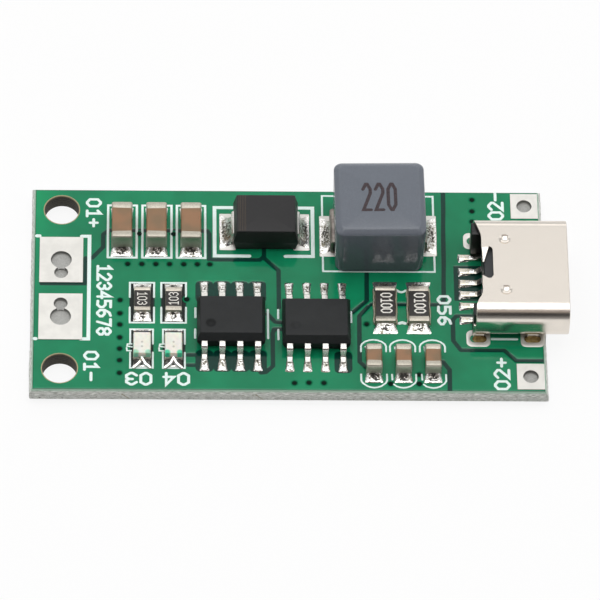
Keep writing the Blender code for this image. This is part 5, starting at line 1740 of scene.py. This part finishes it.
def build_housing(material):
    """Housing: rounded outlines along x, from its rear inside the shell to collar and tongue tip."""
    low, high = node_box("usb_housing")
    shell_low, shell_high = node_box("usb_shell")
    rear, tip = shell_low[0], high[0]
    middle_y, middle_z = (low[1] + high[1]) / 2, (shell_high[2] + SHELL_BOTTOM) / 2
    levels = np.array([                 # place along x, half width, half height, corner
        (rear + 0.62, 3.9, 1.1, 0.7), (rear + 0.7, 4.1, 1.2, 0.8), (rear + 2.4, 4.1, 1.2, 0.8),
        (rear + 2.42, 3.35, 0.6, 0.2), (rear + 3.1, 3.35, 0.6, 0.2), (rear + 3.12, 3.25, 0.35, 0.06),
        (tip - 0.15, 3.25, 0.35, 0.06), (tip, 3.1, 0.22, 0.06)])
    shape = Shape().add(laid_along(lofted(*levels.T, 8)) + (0, middle_y, middle_z), around=True)
    # Two cheeks by the shell's rear: partly the housing's rear wall, partly painted shade, as their
    # value paints them near black.
    for side in (-1, 1):
        cheek = soft_block(0.12, 2.6, 0.42, 0.55, 0.1, 0.08, 3)
        shape.add(cheek + (rear + 0.26, middle_y + side * 3.55, 0), around=True, value=1.0)
    shape.put("usb_housing_moulding", material, "black_housing", ["usb_housing"], sharp=35)


def build_contacts(material):
    """Contacts: a strip from its tail on the board up into the housing and along the tongue."""
    shape = Shape()
    rear = node_box("usb_shell")[0][0]
    for name in CONTACTS:
        low, high = node_box(name)
        blade, tail = high[2] - 0.075, low[2] + 0.085
        path = bent_path([(low[0] + 0.08, tail), (rear + 0.3, tail), (rear + 0.6, 0.4),
                          (rear + 0.9, 0.45), (rear + 1.3, blade), (high[0], blade)], 0.12)
        grid = turned(bent_strip(path, 0.23, 0.075, 0.03), 90)
        grid = grid * (-1, 1, 1) + (0, (low[1] + high[1]) / 2, 0)
        # Painted shade: the value darkens each contact where it runs in under the shell.
        shape.add(grid, around=True, value=smooth_step(grid[..., 0], rear + 0.1, rear + 0.5))
    shape.put("usb_contacts", material, "contact_metal", CONTACTS, sharp=50)


class CHARGER_OT_inlet(bpy.types.Operator):
    """Inlet: folded shell with its stakes, housing, contacts and their solder"""

    bl_idname = "charger.inlet"
    bl_label = "Inlet"

    def execute(self, context):
        nickel = make_material("nickel_plate", nickel_plate)
        build_shell(nickel)
        build_hook_tooth(nickel)
        build_housing(make_material("black_nylon", black_nylon))
        build_contacts(make_material("gilt_contact", gilt_contact))
        solder, pools = Shape(), Shape()
        for index, name in enumerate(CONTACTS):
            low, high = node_box(name)
            grid = solder_slope(0, 1.1, 0.4, 0.22, 0.2, 60 + index, lip=0.1, sag=1.1)
            solder.add(turned(grid, -90, (low[0] - 0.02, (low[1] + high[1]) / 2, 0)))
        solder.put("contact_solder", bpy.data.materials["bright_solder"], "contact_metal", solid=False,
                   sharp=60)
        for x, y in stake_middles():
            pool = soft_block(-0.5, -0.1, STAKE_HALF[0] + 0.02, STAKE_HALF[1] + 0.02, 0.3, 0.02, 2)
            pools.add(pool + (x, y, 0), around=True)
        pools.put("slot_flux", make_material("flux_pool", flux_pool), "tinned_pad")
        return {"FINISHED"}


class CHARGER_PT_panel(bpy.types.Panel):
    """Lists the steps that dress the module"""

    bl_idname = "CHARGER_PT_panel"
    bl_label = "Charger module"
    bl_space_type = "VIEW_3D"
    bl_region_type = "UI"
    bl_category = "Charger module"

    def draw(self, context):
        for operator in OPERATORS:
            self.layout.operator(operator.bl_idname)
        for name in SETTINGS:
            group = getattr(context.scene, name)
            for key in group.__annotations__:
                self.layout.prop(group, key)


SETTINGS = {
    "charger_board": BoardSettings,
    "charger_legend": LegendSettings,
    "charger_metals": MetalSettings,
    "charger_bodies": BodySettings,
    "charger_studio": StudioSettings,
}
OPERATORS = (
    CHARGER_OT_studio, CHARGER_OT_board, CHARGER_OT_legend, CHARGER_OT_solder, CHARGER_OT_packages,
    CHARGER_OT_inductor, CHARGER_OT_diode, CHARGER_OT_chips, CHARGER_OT_lamps, CHARGER_OT_inlet,
)


def register():
    for group in (*SETTINGS.values(), *OPERATORS, CHARGER_PT_panel):
        bpy.utils.register_class(group)
    for name, group in SETTINGS.items():
        setattr(bpy.types.Scene, name, PointerProperty(type=group))


def unregister():
    for name in SETTINGS:
        delattr(bpy.types.Scene, name)
    for group in (CHARGER_PT_panel, *reversed(OPERATORS), *reversed(tuple(SETTINGS.values()))):
        bpy.utils.unregister_class(group)


def main():
    """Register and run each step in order."""
    register()
    for operator in OPERATORS:
        group, name = operator.bl_idname.split(".")
        getattr(getattr(bpy.ops, group), name)()


if __name__ == "__main__":
    main()
